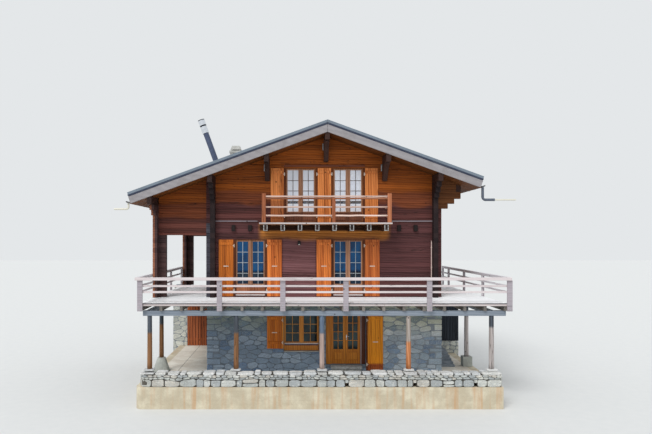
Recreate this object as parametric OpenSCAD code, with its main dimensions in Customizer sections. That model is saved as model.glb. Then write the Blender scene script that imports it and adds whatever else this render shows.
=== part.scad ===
// Alpine chalet: stone ground storey, two storeys of squared interlocking logs,
// a wide deck on log posts, a gable balcony, a side loggia and a 20 degree roof.
// Millimetres. X runs along the front from the ridge line, Y runs back from the
// front face of the walls, Z runs up from the lowest ground.

/* [House] */
// Ridge line to the outer face of the left log wall
log_left = 4420; // [4200:10:4600]
// Ridge line to the outer face of the right log wall
log_right = 4260; // [4100:10:4500]
// Front face to back face of the house
house_d = 6200; // [5900:50:7500]
// How far the left stone wall stands out past the log wall
stone_proud_left = 160; // [60:10:170]
// How far the right stone wall stands out past the log wall
stone_proud_right = 200; // [60:10:210]
// Thickness of the stone walls
stone_t = 500; // [350:10:600]
// Thickness of the log walls
log_t = 180; // [140:5:220]
// Height of one log course
course_h = 189; // [180:1:198]
// Courses in the first log storey
storey_courses = 15; // [15:1:16]
// Depth of the chamfered joint between two courses
joint_g = 14; // [6:1:22]
// How far the log ends run past the corners sideways
log_over = 180; // [100:10:240]
// How far the side wall logs run out in front and behind
log_over_y = 250; // [150:10:300]

/* [Levels] */
// Terrace floor above the lowest ground
terrace_z = 750; // [600:10:900]
// Ground floor above the terrace
door_rise = 250; // [120:10:300]
// Top of the stone walls
stone_top = 3380; // [3300:10:3500]
// Thickness of the first floor slab
first_slab_t = 220; // [160:10:260]
// Thickness of the ground floor slab
ground_slab_t = 180; // [120:10:240]
// Thickness of the upper floor and balcony boards
upper_board_t = 70; // [40:5:90]

/* [Roof] */
// Fall of the roof in degrees
roof_a = 20; // [18:0.5:22]
// Upper floor to the underside of the roof at the ridge
gable_h = 3325; // [3200:5:3450]
// Height of the roof boards and insulation
roof_t = 330; // [300:10:360]
// Thickness of the metal covering
sheet_t = 40; // [20:5:60]
// How far the covering runs past the eaves
sheet_over = 30; // [20:5:60]
// Height of the standing seams
seam_h = 30; // [15:5:40]
// Width of the standing seams
seam_w = 30; // [20:5:50]
// Distance between the standing seams
seam_pitch = 620; // [500:10:800]
// Ridge line to the edge of the ridge cap
cap_w = 230; // [150:10:300]
// Thickness of the ridge cap over the seams
cap_t = 15; // [10:1:30]
// Ridge line to the left eave
eave_left = 7310; // [7100:10:7500]
// Ridge line to the right eave
eave_right = 5700; // [5600:10:5900]
// Roof overhang in front and behind, to the bargeboard face
roof_over = 1050; // [1000:10:1200]
// Thickness of the bargeboards
barge_t = 50; // [30:5:70]
// Depth of the bargeboards
barge_h = 285; // [240:5:300]
// Height of the verge metal above the bargeboard
verge_h = 165; // [140:5:200]
// Width of the verge metal lying on the covering
verge_w = 110; // [60:5:160]
// Width of a purlin
purlin_w = 180; // [140:5:200]
// Depth of a purlin
purlin_h = 240; // [180:5:260]
// Ridge line to the middle purlins
mid_purlin_x = 2250; // [2150:10:2400]
// Ridge line to the left eave purlin
left_purlin_x = 6550; // [6500:10:6560]
// Ridge line to the right eave purlin
right_purlin_x = 5090; // [5000:10:5200]
// Height of the bracket under the ridge purlin
ridge_corbel_h = 700; // [500:10:900]
// Height of the brackets under the middle purlins
mid_corbel_h = 620; // [450:10:800]
// How far the top of a bracket stands out from the wall
corbel_reach = 735; // [600:5:800]
// How far the foot of a bracket stands out from the wall
corbel_foot = 130; // [80:10:200]
// Radius of the half round gutters
gutter_r = 75; // [60:5:85]
// Wall of the gutters and spouts
gutter_t = 6; // [4:1:10]
// Distance from the eave line back to the flat end of the slabs
eave_back = 60; // [40:5:80]
// How far the gutters hang under the top of the slab
gutter_drop = 190; // [100:10:220]
// Radius of the left and right rain spouts
spout_r = [30, 45]; // [25:5:55]
// How much wider the sleeves of the spouts are
spout_sleeve = 4; // [2:1:6]
// Lap of the spout bends in their sleeves
spout_lap = 10; // [5:1:20]
// Radius of the thin outlet of the right rain spout
outlet_r = 28; // [20:2:40]
// Length of the thin outlet of the right rain spout
outlet_len = 780; // [500:10:900]
// Drop of the left rain spout under its gutter
left_spout_drop = 160; // [60:10:300]
// Length of the outlet of the left rain spout
left_spout_reach = 470; // [300:10:600]
// Drop of the right rain spout under its gutter
right_spout_drop = 370; // [200:10:500]
// Length of the outlet of the right rain spout
right_spout_reach = 1130; // [900:10:1200]

/* [Chimneys] */
// Ridge line to the foot of the leaning flue
flue_x = 4370; // [4200:10:4500]
// Front face to the flue
flue_y = 3000; // [2500:50:3300]
// Length of the flue pipe
flue_len = 2030; // [1800:10:2400]
// Radius of the flue pipe
flue_r = 120; // [80:5:130]
// Length of the flue cowl
cowl_len = 620; // [400:10:700]
// Radius of the flue cowl
cowl_r = 145; // [130:5:170]
// Width of the collar round the foot of the flue
collar_w = 70; // [40:5:120]
// Thickness of that collar
collar_t = 25; // [15:1:40]
// Ridge line to the middle of the chimney
chimney_x = 3850; // [3700:10:3950]
// Front face to the middle of the chimney
chimney_y = 4150; // [4100:50:4800]
// Width of the chimney
chimney_w = 520; // [450:10:600]
// Height of the chimney shaft over the covering
chimney_h = 1010; // [950:10:1250]
// Width of the metal skirt round the foot of the chimney
skirt_w = 60; // [30:5:100]
// Height of that skirt over the covering
skirt_h = 150; // [80:10:200]
// How far the slab on the chimney stands past the shaft
cowl_over = 25; // [10:5:100]
// Thickness of that slab
cowl_slab_t = 100; // [60:5:120]
// Height of the slot over it
cowl_slot_h = 50; // [40:5:120]
// Width of the pegs in the slot
cowl_peg_w = 60; // [40:5:80]
// Side of the cap to those pegs
cowl_peg_in = 20; // [10:5:40]
// Width of the cap at its foot
cowl_cap_w = 475; // [400:5:560]
// Width of the cap at its top
cowl_cap_top_w = 350; // [250:5:450]
// Height of the cap
cowl_cap_h = 180; // [100:10:250]

/* [Loggia] */
// Ridge line to the left side of the loggia
loggia_left = 6600; // [6590:10:6620]
// Underside of the log gable over the loggia
loggia_head = 5980; // [5900:10:6050]
// Width of the posts built of stacked logs
pillar_w = 460; // [400:10:600]
// Thickness of the logs in those posts
pillar_log_t = 170; // [150:5:180]

/* [Deck] */
// Ridge line to the right edge of the deck
deck_right = 6150; // [6100:10:6200]
// Front face of the house to the front edge of the deck
deck_front = 2200; // [2150:10:2300]
// Back face of the house to the back end of the side decks
deck_short = 500; // [500:10:700]
// Back face of the house to the back end of the right side deck, behind it
deck_right_past = 300; // [0:10:400]
// Thickness of the deck boards
deck_board_t = 45; // [30:5:50]
// Depth of the edge boards
edge_board_h = 90; // [70:5:120]
// Thickness of the edge boards
edge_board_t = 40; // [25:5:50]
// How far the front beam ends short of the left edge of the deck
beam_short = 100; // [50:10:200]
// Left edge of the deck to the second joist
joist_start = 750; // [650:10:800]
// Width of a joist
joist_w = 100; // [80:5:120]
// Depth of a joist
joist_h = 225; // [200:5:240]
// Number of joists under the front deck
joist_n = 18; // [16:1:20]
// Distance between the joists of the side decks
wing_pitch = 700; // [600:10:800]
// Width of the deck beams
beam_w = 180; // [150:5:200]
// Depth of the deck beams
beam_h = 180; // [150:5:200]
// Radius of the log posts
post_r = 90; // [75:1:95]
// Ridge line to the log posts on the parapet
post_x = [-6280, -3260, -250, 2770, 5670];
// Place of the left inner post
left_post = [-6330, 60];
// Place of the right inner post
right_post = [5690, 950];
// Height of the deck rail above the deck
rail_h = 900; // [850:10:1000]
// Width of the deck rail posts
rail_post_w = 180; // [140:5:200]
// Thickness of the deck rail posts
rail_post_t = 60; // [40:5:80]
// Ridge line to the rail posts in front
rail_post_x = [-6560, -3810, -1620, 560, 3450, 6220];
// Back end of the side decks to the last rail posts
rail_post_end = 100; // [90:5:200]
// Front face of the house to the other rail posts at the left side
rail_left_y = [3200];
// Front face of the house to the other rail posts at the right side
rail_right_y = [450, 2900, 5350];
// Width of the hand rail
hand_rail_w = 120; // [100:5:150]
// Thickness of the hand rail
hand_rail_t = 100; // [60:5:110]
// Height of the two lower rails
low_rail_h = 70; // [60:5:130]
// Thickness of the two lower rails
low_rail_t = 32; // [20:2:40]
// Middle of the two lower rails above the deck
low_rail_z = [390, 600];

/* [Terrace] */
// Ridge line to the left side of the terrace
terrace_left = 6680; // [6620:10:6750]
// Ridge line to the right side of the terrace
terrace_right = 5940; // [5900:10:6150]
// Front face of the house to the front of the retaining wall
terrace_front = 2410; // [2350:10:2500]
// Back face of the house to the back end of the terrace
terrace_short = 800; // [700:10:1000]
// Thickness of the terrace slab
terrace_t = 150; // [100:10:200]
// Thickness of the front retaining wall and its parapet
parapet_t = 500; // [450:10:560]
// Thickness of the side retaining walls
side_retaining_t = 300; // [200:10:320]
// Height of the dry stone parapet
parapet_h = 520; // [400:10:600]
// Ridge line to the left end of the parapet
parapet_left = 6560; // [6450:10:6600]
// Ridge line to the right end of the parapet
parapet_right = 5920; // [5800:10:5940]
// Corner radius at the left end of the walls
end_round_r = 240; // [120:10:240]
// Ridge line to the drain openings
drain_x = [580, 2910, 5000];
// Width of a drain opening
drain_w = 120; // [80:10:160]
// Height of a drain opening
drain_h = 140; // [80:10:180]
// Foot radius of the stone base under the left inner post
cone_r = 330; // [280:10:345]
// Top radius of that base
cone_top_r = 150; // [110:5:180]
// Height of that base
cone_h = 530; // [400:10:600]
// Width of the concrete base under the right inner post
block_w = 360; // [300:10:400]
// Height of that base
block_h = 390; // [300:10:450]
// Number of shallow stone steps at the right side
step_n = 6; // [4:1:8]
// Rise of a stone step
step_rise = 75; // [60:5:90]
// Tread of a stone step
step_run = 260; // [220:5:300]
// Width of the stone steps
step_w = 720; // [500:10:800]
// Front face of the house to the first stone step
step_y = 750; // [600:50:1000]
// Top of the low stone wall at the right side
low_wall_z = 1280; // [1250:10:1500]
// Front face of the house to the low stone wall
low_wall_y = 3600; // [3200:50:4500]
// Thickness of the low stone wall
low_wall_t = 400; // [300:10:500]
// Ridge line to the right end of the low stone wall and of the screen on it
low_wall_right = 6150; // [6000:10:6300]
// Depth of the stone piers under the ends of the side beams
pier_t = 450; // [350:10:500]
// Ridge line to the near side of the left stone pier
pier_x = 6300; // [6200:10:6330]
// Width of the left stone pier
pier_w = 700; // [500:10:800]
// Width of the right stone pier
right_pier_w = 500; // [400:10:560]
// Width of a screen board
slat_w = 105; // [70:5:120]
// Gap between two screen boards
slat_gap = 22; // [15:1:50]
// Thickness of a screen board
slat_t = 28; // [20:2:40]
// End of a screen board to the bar across it
slat_bar_end = 250; // [150:10:350]

/* [Windows] */
// Width of a French window
french_w = 1160; // [1100:10:1200]
// Ridge line to the French windows of the first floor
first_window_x = [-2905, 850];
// Height of a French window on the first floor
first_window_h = 2180; // [2000:10:2250]
// Ridge line to the French windows of the upper floor
upper_window_x = [-970, 850];
// Height of a French window on the upper floor
upper_window_h = 2090; // [1950:10:2100]
// Sill of the French windows above the floor boards
french_sill = 30; // [20:5:60]
// Ridge line to the ground floor window
ground_window_x = -940; // [-1000:10:-900]
// Width of the ground floor window
ground_window_w = 1360; // [1200:10:1400]
// Sill of the ground floor window above the ground
ground_sill_z = 1490; // [1400:10:1600]
// Height of the ground floor window
ground_window_h = 1460; // [1300:10:1500]
// Height of the panel under the glass of the ground floor window, from the sill
ground_panel_h = 320; // [200:10:500]
// Width of the windows in the side and back walls
plain_window_w = 900; // [700:10:1000]
// Height of the windows in the side and back walls
plain_window_h = 1150; // [900:10:1200]
// Sill of those windows above their floor
plain_sill = 950; // [800:10:1100]
// Front face of the house to the windows in the side walls
side_window_y = 3100; // [2800:50:3300]
// Width of a window frame member
frame_w = 62; // [50:2:80]
// Depth of a window frame
frame_d = 90; // [70:5:110]
// Width of the middle members of a window
mullion_w = 90; // [70:5:110]
// Height of the wooden panel under the glass
panel_h = 420; // [300:10:500]
// Thickness of the glass
glass_t = 12; // [8:1:20]
// How far the frames sit behind a log face
frame_inset = 25; // [10:5:60]
// How far the frames sit behind a stone face
stone_inset = 120; // [60:10:200]
// Thickness of a shutter
shutter_t = 34; // [25:1:45]
// Width of a shutter on the first floor
first_shutter_w = 620; // [560:10:660]
// Width of the outer shutters on the upper floor
upper_shutter_w = 560; // [500:10:600]
// Width of the shutter of the ground floor window
ground_shutter_w = 630; // [560:10:700]
// Foot of that shutter above the sill
ground_shutter_rise = 130; // [0:10:200]
// Width of the shutter of the door
door_shutter_w = 650; // [600:10:700]
// Gap between that shutter and the terrace
door_shutter_gap = 30; // [10:5:60]
// Thickness of the battens across a shutter
batten_t = 22; // [15:1:30]
// Edge of a shutter to the end of its battens
batten_inset = 25; // [10:5:40]
// Height of the battens across a shutter
batten_h = 110; // [80:5:140]
// Distance from a shutter's end to its batten
batten_end = 180; // [120:10:260]
// Gap between a window and its open shutter
shutter_gap = 12; // [5:1:30]

/* [Door] */
// Ridge line to the left side of the doorway
door_x = 0; // [-20:5:20]
// Width of the doorway in the wall
door_w = 1530; // [1480:10:1560]
// Top of the doorway
door_top = 3100; // [3050:10:3150]
// Width of one door leaf
leaf_w = 562; // [540:1:580]
// Thickness of a door leaf
leaf_t = 55; // [45:1:60]
// How far the leaves sit behind the face of the door frame
leaf_inset = 25; // [15:1:30]
// Gap round the door leaves
leaf_gap = 6; // [5:0.5:8]
// Gap between the leaves and the floor
leaf_floor_gap = 10; // [8:1:15]
// Height of the head of the door frame
door_head_h = 90; // [70:5:110]
// Depth of the door frame
door_frame_d = 80; // [70:5:90]
// Width of the leaf members round the glass
stile_w = 92; // [75:1:100]
// Height of the wooden panel in a leaf
leaf_panel_h = 560; // [450:10:650]
// Radius of the hinge pins
pin_r = 6; // [5:0.5:7]
// Wall round the hinge pins
knuckle_wall = 5; // [4:0.5:7]
// Running clearance of the hinge pins
hinge_fit = 0.1; // [0.05:0.01:0.1]
// Length of a hinge knuckle
knuckle_l = 60; // [50:1:80]
// Height of the hinges above the foot of the leaf
hinge_z = [180, 1000, 1700];
// Width of a hinge flap
flap_w = 40; // [30:1:50]
// Thickness of a hinge flap
flap_t = 5; // [4:0.5:8]
// Depth of the recess on the outside of a leaf's panel
panel_recess = 14; // [8:1:18]
// Width of the door step
step_stone_w = 1180; // [1100:10:1300]
// Depth of the door step
step_stone_d = 350; // [300:10:450]

/* [Balcony] */
// Ridge line to the left end of the balcony
balcony_left = 2510; // [2450:10:2560]
// Ridge line to the right end of the balcony
balcony_right = 2390; // [2350:10:2450]
// Depth of the balcony
balcony_d = 1000; // [900:10:1040]
// Place of the first floor beam
floor_beam_x = -3550; // [-3600:10:-3500]
// Distance between the floor beams
floor_beam_pitch = 635; // [620:1:640]
// Number of floor beams
floor_beam_n = 12; // [12:1:12]
// Width of a floor beam
floor_beam_w = 140; // [120:5:160]
// Depth of a floor beam
floor_beam_h = 240; // [200:5:260]
// How far the beams beside the balcony stand out
beam_stub = 110; // [60:10:160]
// Ridge line to the balcony posts
balcony_post_x = [-2340, 235, 2285];
// Width of the end and middle balcony posts
balcony_post_w = [145, 120, 145]; // [100:5:160]
// Thickness of a balcony post
balcony_post_t = 90; // [85:5:110]
// Height of the balcony posts above the floor
balcony_post_h = 1070; // [1000:10:1150]
// Radius of the pole rails
pole_r = 42; // [35:1:50]
// Height of the pole rails above the floor
pole_z = [260, 570, 960];
// Radius of the pole rails at the sides
side_pole_r = 38; // [32:1:45]
// Ridge line to the ends of the board over the upper windows
trim_x = [-1620, 1500];
// Thickness of the trim boards
trim_t = 30; // [20:5:40]
// Height of the board over the upper windows
trim_h = 90; // [60:5:120]
// Gap between the upper windows and that board
trim_gap = 40; // [20:5:80]
// Height of the ledge beside the balcony above the upper floor
ledge_rise = 60; // [30:5:100]
// Thickness of that ledge
ledge_h = 45; // [30:5:60]
// Gap between the balcony and that ledge
ledge_gap = 120; // [60:10:200]
// Ridge line to the wall lamp
lamp_x = -1030; // [-1060:10:-1010]
// Middle of the wall lamp above the first floor
lamp_rise = 2080; // [2000:10:2200]
// Width and height of the back plate of the lamp
lamp_plate = [120, 160];
// Width and height of the body of the lamp
lamp_body = [80, 90];
// How far the lamp stands out from the wall
lamp_out = 150; // [100:10:200]

/* [Hidden] */
$fn = 48;
// Gap that keeps two like pieces apart
split = 6;
// Play between pieces that lie on each other along the slope of the roof
seat = 0.1;
first_z = stone_top + first_slab_t;
upper_z = first_z + storey_courses * course_h;
ground_z = terrace_z + door_rise;
stone_left = log_left + stone_proud_left;
stone_right = log_right + stone_proud_right;
soffit_z = upper_z + gable_h;
slope = tan(roof_a);
plate_left = log_left - log_t / 2;
plate_right = log_right - log_t / 2;
roof_y0 = -roof_over;
roof_y1 = house_d + roof_over;
beam_top = first_z - deck_board_t - joist_h;
beam_z = beam_top - beam_h;
parapet_top = terrace_z + parapet_h;
deck_left = loggia_left;
deck_back = house_d - deck_short;
right_deck_back = house_d + deck_right_past;
terrace_back = house_d - terrace_short;
upper_beam_z = upper_z - upper_board_t - floor_beam_h;
leaf_y = stone_inset + leaf_inset;
door_open_w = 2 * leaf_w + 3 * leaf_gap;
jamb_w = (door_w - door_open_w) / 2;
leaf_z = ground_z + leaf_floor_gap;
leaf_top = door_top - door_head_h - leaf_gap;
hinge_y = stone_inset + door_frame_d + pin_r + knuckle_wall;
hinge_left_x = door_x + jamb_w + leaf_gap / 2;
hinge_right_x = door_x + door_w - jamb_w - leaf_gap / 2;
corbel_shape = [[0.41, 0.62], [0.64, 0.3], [1, 0.04]];
flare = [1.6, 2.3, 3] * log_over_y;
cut = 10;
hinge_seat = 0.3;
pin_l = 0.8 * knuckle_l;
step_course = 3;
pillar_back_end = house_d + log_over_y;

// Underside of the roof at a distance from the ridge line
function soffit(x) = soffit_z - slope * abs(x);
chimney_top = soffit(chimney_x) + roof_t + sheet_t + chimney_h;
// Underside of the wall plate over the middle of a side wall
function plate_z(x) = soffit(abs(x) + purlin_w / 2) - purlin_h;
// Box from its two opposite corners
module span(a, b) { translate(a) cube(b - a); }
// Outline in X and Z made into a solid from y0 to y1
module in_xz(y0, y1) { translate([0, y1, 0]) rotate([90, 0, 0]) linear_extrude(y1 - y0) children(); }
// Outline in Y and Z made into a solid from x0 to x1
module in_yz(x0, x1) { translate([x0, 0, 0]) rotate([90, 0, 90]) linear_extrude(x1 - x0) children(); }
// Places a piece made for the front on a wall: 0 front, 1 right, 2 back, 3 left
module on_wall(side, left, right) {
    move = [[0, 0, 0], [right, 0, 0], [0, house_d, 0], [-left, 0, 0]];
    translate(move[side]) rotate([0, 0, [0, 90, 180, -90][side]]) children();
}

// Joints between the courses of a log wall, from z0 up to z1
function joints(z0, z1) = [for (z = [z0 + course_h : course_h : z1 - joint_g - 1]) z];
// Section of a log wall: chamfered at each joint on its outer side
module log_section(z0, z1) {
    polygon(concat([[0, z0]],
        [for (z = joints(z0, z1)) each [[0, z - joint_g], [joint_g, z], [0, z + joint_g]]],
        [[0, z1], [log_t, z1], [log_t, z0]]));
}
// Blocks where every second course of the crossing wall passes through
module crossings(z0, z1, odd) {
    for (x = [-log_left, log_right - log_t])
        let (top = min(z1, plate_z(x + log_t / 2)))
            for (k = [odd : 2 : floor((top - z0) / course_h)], y = [0, house_d - log_t])
                let (a = z0 + k * course_h, b = min(a + course_h, top + cut))
                    span([x, y, a], [x + log_t, y + log_t, b]);
}

// Window openings: wall, place along it, sill, width, height and panel
function mirrored(list) = [for (v = list) -v];
log_windows = concat(
    [for (x = first_window_x) [0, x, first_z + french_sill, french_w, first_window_h, panel_h]],
    [for (x = upper_window_x) [0, x, upper_z + french_sill, french_w, upper_window_h, panel_h]],
    [for (x = mirrored(first_window_x)) [2, x, first_z + plain_sill, plain_window_w, plain_window_h, 0]],
    [for (x = mirrored(upper_window_x)) [2, x, upper_z + plain_sill, plain_window_w, plain_window_h, 0]],
    [[1, side_window_y, first_z + plain_sill, plain_window_w, plain_window_h, 0],
     [3, -side_window_y, first_z + french_sill, plain_window_w, first_window_h, panel_h]]);
stone_windows = [[0, ground_window_x, ground_sill_z, ground_window_w, ground_window_h, ground_panel_h],
    [3, -side_window_y, ground_z + plain_sill, plain_window_w, plain_window_h, 0],
    [2, 0, ground_z + plain_sill, plain_window_w, plain_window_h, 0]];
// Cuts the openings of one wall
module window_cuts(list, side, left, right) {
    for (w = list)
        if (w[0] == side)
            on_wall(side, left, right)
                span([w[1] - w[3] / 2, -cut, w[2]], [w[1] + w[3] / 2, stone_t + cut, w[2] + w[4]]);
}

module retaining_wall() {
    y0 = -terrace_front;
    round_x = -terrace_left + end_round_r;
    color("tan") {
        span([round_x, y0, 0], [terrace_right, y0 + parapet_t, terrace_z]);
        span([-terrace_left, y0 + end_round_r, 0],
            [-terrace_left + side_retaining_t, terrace_back, terrace_z]);
        span([terrace_right - side_retaining_t, y0, 0], [terrace_right, terrace_back, terrace_z]);
        translate([round_x, y0 + end_round_r, 0]) cylinder(r = end_round_r, h = terrace_z);
    }
}
module stone_parapet() {
    y0 = -terrace_front;
    round_x = -parapet_left + end_round_r;
    color("silver") difference() {
        union() {
            span([round_x, y0, terrace_z], [parapet_right, y0 + parapet_t, parapet_top]);
            span([-parapet_left, y0 + end_round_r, terrace_z], [round_x, y0 + parapet_t, parapet_top]);
            translate([round_x, y0 + end_round_r, terrace_z]) cylinder(r = end_round_r, h = parapet_h);
        }
        for (x = drain_x)
            span([x - drain_w / 2, y0 - cut, terrace_z - cut],
                [x + drain_w / 2, y0 + parapet_t + cut, terrace_z + drain_h]);
    }
}
module terrace_floor() {
    z0 = terrace_z - terrace_t;
    x0 = -terrace_left + side_retaining_t;
    x1 = terrace_right - side_retaining_t;
    color("lightgray") {
        span([x0, -terrace_front + parapet_t, z0], [x1, 0, terrace_z]);
        span([x0, split, z0], [-stone_left, terrace_back, terrace_z]);
        span([stone_right, split, z0], [x1, terrace_back, terrace_z]);
    }
}
module post_bases() {
    color("gray") {
        translate([left_post[0], left_post[1], terrace_z])
            cylinder(r1 = cone_r, r2 = cone_top_r, h = cone_h);
        translate([right_post[0] - block_w / 2, right_post[1] - block_w / 2, terrace_z])
            cube([block_w, block_w, block_h]);
    }
}
module side_steps() {
    color("slategray") in_yz(stone_right, stone_right + step_w)
        polygon(concat([[step_y, terrace_z]],
            [for (k = [0 : step_n - 1]) each [
                [step_y + k * step_run, terrace_z + (k + 1) * step_rise],
                [step_y + (k + 1) * step_run, terrace_z + (k + 1) * step_rise]]],
            [[low_wall_y, terrace_z + step_n * step_rise], [low_wall_y, terrace_z]]));
}
module side_stone_walls() {
    color("gray") {
        in_yz(-pier_x - pier_w, -pier_x)
            polygon([[terrace_back, 0], [pillar_back_end, 0], [pillar_back_end, first_z],
                [deck_back + split, first_z], [deck_back + split, beam_z], [terrace_back, beam_z]]);
        span([terrace_right - right_pier_w, terrace_back, 0],
            [terrace_right, terrace_back + pier_t, beam_z]);
        span([stone_right, low_wall_y, terrace_z],
            [terrace_right, low_wall_y + low_wall_t, low_wall_z]);
        span([terrace_right, low_wall_y, 0], [low_wall_right, low_wall_y + low_wall_t, low_wall_z]);
    }
}
// Boards side by side on two cross bars
module slat_screen(x0, x1, y, z0, z1) {
    n = floor((x1 - x0 + slat_gap) / (slat_w + slat_gap));
    pitch = (x1 - x0 + slat_gap) / n;
    for (k = [0 : n - 1])
        span([x0 + k * pitch, y, z0], [x0 + (k + 1) * pitch - slat_gap, y + slat_t, z1]);
    for (z = [z0 + slat_bar_end, z1 - slat_bar_end - batten_h])
        span([x0, y + slat_t, z], [x1, y + 2 * slat_t, z + batten_h]);
}
module slat_screens() {
    color("sienna") {
        difference() {
            slat_screen(-pier_x, -stone_left, terrace_back - 2 * slat_t, terrace_z, beam_top);
            span([left_post[0] - beam_w / 2 - split, terrace_back - 3 * slat_t, beam_z - split],
                [left_post[0] + beam_w / 2 + split, terrace_back + split, beam_top + cut]);
        }
        difference() {
            slat_screen(stone_right, low_wall_right, low_wall_y + slat_t, low_wall_z, beam_top);
            span([right_post[0] - beam_w / 2 - split, low_wall_y, beam_z - split],
                [right_post[0] + beam_w / 2 + split, low_wall_y + low_wall_t, beam_top + cut]);
        }
    }
}

module front_wall_left() {
    color("slategray") difference() {
        span([-stone_left, 0, 0], [door_x, stone_t, stone_top]);
        window_cuts(stone_windows, 0, stone_left, stone_right);
    }
}
module front_wall_right() {
    color("slategray") span([door_x + door_w, 0, 0], [stone_right, stone_t, stone_top]);
}
module front_wall_center() {
    color("slategray") {
        span([door_x, 0, 0], [door_x + door_w, stone_t, ground_z]);
        span([door_x, 0, door_top], [door_x + door_w, stone_t, stone_top]);
    }
}
module stone_wall_left() {
    color("slategray") difference() {
        span([-stone_left, stone_t, 0], [-stone_left + stone_t, house_d - stone_t, stone_top]);
        window_cuts(stone_windows, 3, stone_left, stone_right);
    }
}
module stone_wall_right() {
    color("slategray") span([stone_right - stone_t, stone_t, 0],
        [stone_right, house_d - stone_t, stone_top]);
}
module stone_wall_back() {
    color("slategray") difference() {
        span([-stone_left, house_d - stone_t, 0], [stone_right, house_d, stone_top]);
        window_cuts(stone_windows, 2, stone_left, stone_right);
    }
}
module ground_floor() {
    color("burlywood") span([-stone_left + stone_t, stone_t, ground_z - ground_slab_t],
        [stone_right - stone_t, house_d - stone_t, ground_z]);
}
module first_floor() {
    color("burlywood") span([-stone_left, 0, stone_top], [stone_right, house_d, first_z]);
}

// A log wall from x0 to x1 on the front or back wall line
module log_wall_x(back, x0, x1, z0, z1) {
    translate([0, back ? house_d : 0, 0]) mirror([0, back ? 1 : 0, 0])
        in_yz(x0, x1) log_section(z0, z1);
}
// Floor beams carried through the front and back walls
module floor_beam_cuts() {
    for (k = [0 : floor_beam_n - 1])
        let (x = floor_beam_x + k * floor_beam_pitch - floor_beam_w / 2)
            span([x, -balcony_d, upper_beam_z],
                [x + floor_beam_w, house_d + beam_stub, upper_beam_z + floor_beam_h]);
}
module log_wall_front() {
    color("saddlebrown") difference() {
        log_wall_x(false, -log_left - log_over, log_right + log_over, first_z, upper_z);
        crossings(first_z, upper_z, 1);
        window_cuts(log_windows, 0, log_left, log_right);
        floor_beam_cuts();
    }
}
// Outline of the gables: it steps out at the right to carry the eave purlin
module gable_outline(z0) {
    x1 = log_right + log_over;
    xp = right_purlin_x + purlin_w / 2;
    zp = soffit(xp) - purlin_h;
    out = (xp - x1) / 3;
    polygon(concat([[-log_left - log_over, z0], [x1, z0]],
        [for (k = [0 : 2]) let (z = upper_z + (k + step_course) * course_h)
            each [[x1 + k * out, z], [x1 + (k + 1) * out, z]]],
        [[xp, zp], [xp - purlin_w, zp], [xp - purlin_w, soffit(xp - purlin_w) - seat],
        [0, soffit_z - seat], [-log_left - log_over, soffit(log_left + log_over) - seat]]));
}
module gable_wall_front() {
    color("peru") difference() {
        intersection() {
            log_wall_x(false, -log_left - log_over, right_purlin_x + purlin_w, upper_z, soffit_z);
            in_xz(-cut, log_t + cut) gable_outline(upper_z);
        }
        crossings(upper_z, soffit_z, storey_courses % 2 == 0 ? 1 : 0);
        window_cuts(log_windows, 0, log_left, log_right);
        purlin_cuts();
    }
}
module log_wall_back() {
    color("peru") difference() {
        intersection() {
            log_wall_x(true, -log_left - log_over, right_purlin_x + purlin_w, first_z, soffit_z);
            in_xz(house_d - log_t - cut, house_d + cut) gable_outline(first_z);
        }
        crossings(first_z, soffit_z, 1);
        window_cuts(log_windows, 2, log_left, log_right);
        floor_beam_cuts();
        purlin_cuts();
    }
}
// Side walls: their ends step out under the roof to carry the wall plates
module side_outline(top) {
    front = [for (k = [0 : 2]) let (z = top - (3 - k) * course_h)
        each [[k == 0 ? log_over_y : flare[k - 1], z], [flare[k], z]]];
    polygon(concat([[-log_over_y, first_z], [house_d + log_over_y, first_z]],
        [for (p = front) [house_d + p[0], p[1]]], [[house_d + flare[2], top], [-flare[2], top]],
        [for (k = [5 : -1 : 0]) [-front[k][0], front[k][1]]]));
}
module side_log_wall(side, face, top) {
    difference() {
        intersection() {
            on_wall(side, log_left, log_right)
                in_yz(side == 1 ? -flare[2] : -house_d - flare[2],
                    side == 1 ? house_d + flare[2] : flare[2])
                    log_section(first_z, top);
            in_yz(face, face + log_t) side_outline(top);
        }
        crossings(first_z, soffit_z, 0);
        window_cuts(log_windows, side, log_left, log_right);
    }
}
module log_wall_left() {
    color("sienna") side_log_wall(3, -log_left, plate_z(plate_left));
}
module log_wall_right() {
    color("sienna") side_log_wall(1, log_right - log_t, plate_z(plate_right));
}
module loggia_gables() {
    x0 = -loggia_left + pillar_log_t;
    x1 = -log_left - log_over;
    color("saddlebrown") difference() {
        intersection() {
            union() {
                log_wall_x(false, x0, x1, first_z, soffit_z);
                log_wall_x(true, x0, x1, first_z, soffit_z);
            }
            in_xz(-cut, house_d + cut)
                polygon([[x0, loggia_head], [x1, loggia_head],
                    [x1, soffit(x1) - seat], [x0, soffit(x0) - seat]]);
        }
        purlin_cuts();
    }
}
module loggia_pillar() {
    top = soffit(left_purlin_x + purlin_w / 2) - purlin_h;
    s = log_over_y;
    intersection() {
        in_yz(-loggia_left, -loggia_left + pillar_log_t)
            polygon([[-s, first_z], [2 * s, first_z], [2 * s, top], [-3 * s, top],
                [-3 * s, top - course_h], [-2 * s, top - course_h],
                [-2 * s, top - 2 * course_h], [-s, top - 2 * course_h]]);
        translate([-loggia_left, 0, 0]) in_xz(-3 * s, 3 * s) log_section(first_z, top);
    }
    in_yz(-loggia_left + pillar_log_t, -loggia_left + pillar_w) log_section(first_z, loggia_head);
}
module loggia_pillars() {
    color("maroon") {
        loggia_pillar();
        translate([0, house_d, 0]) mirror([0, 1, 0]) loggia_pillar();
    }
}

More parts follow.
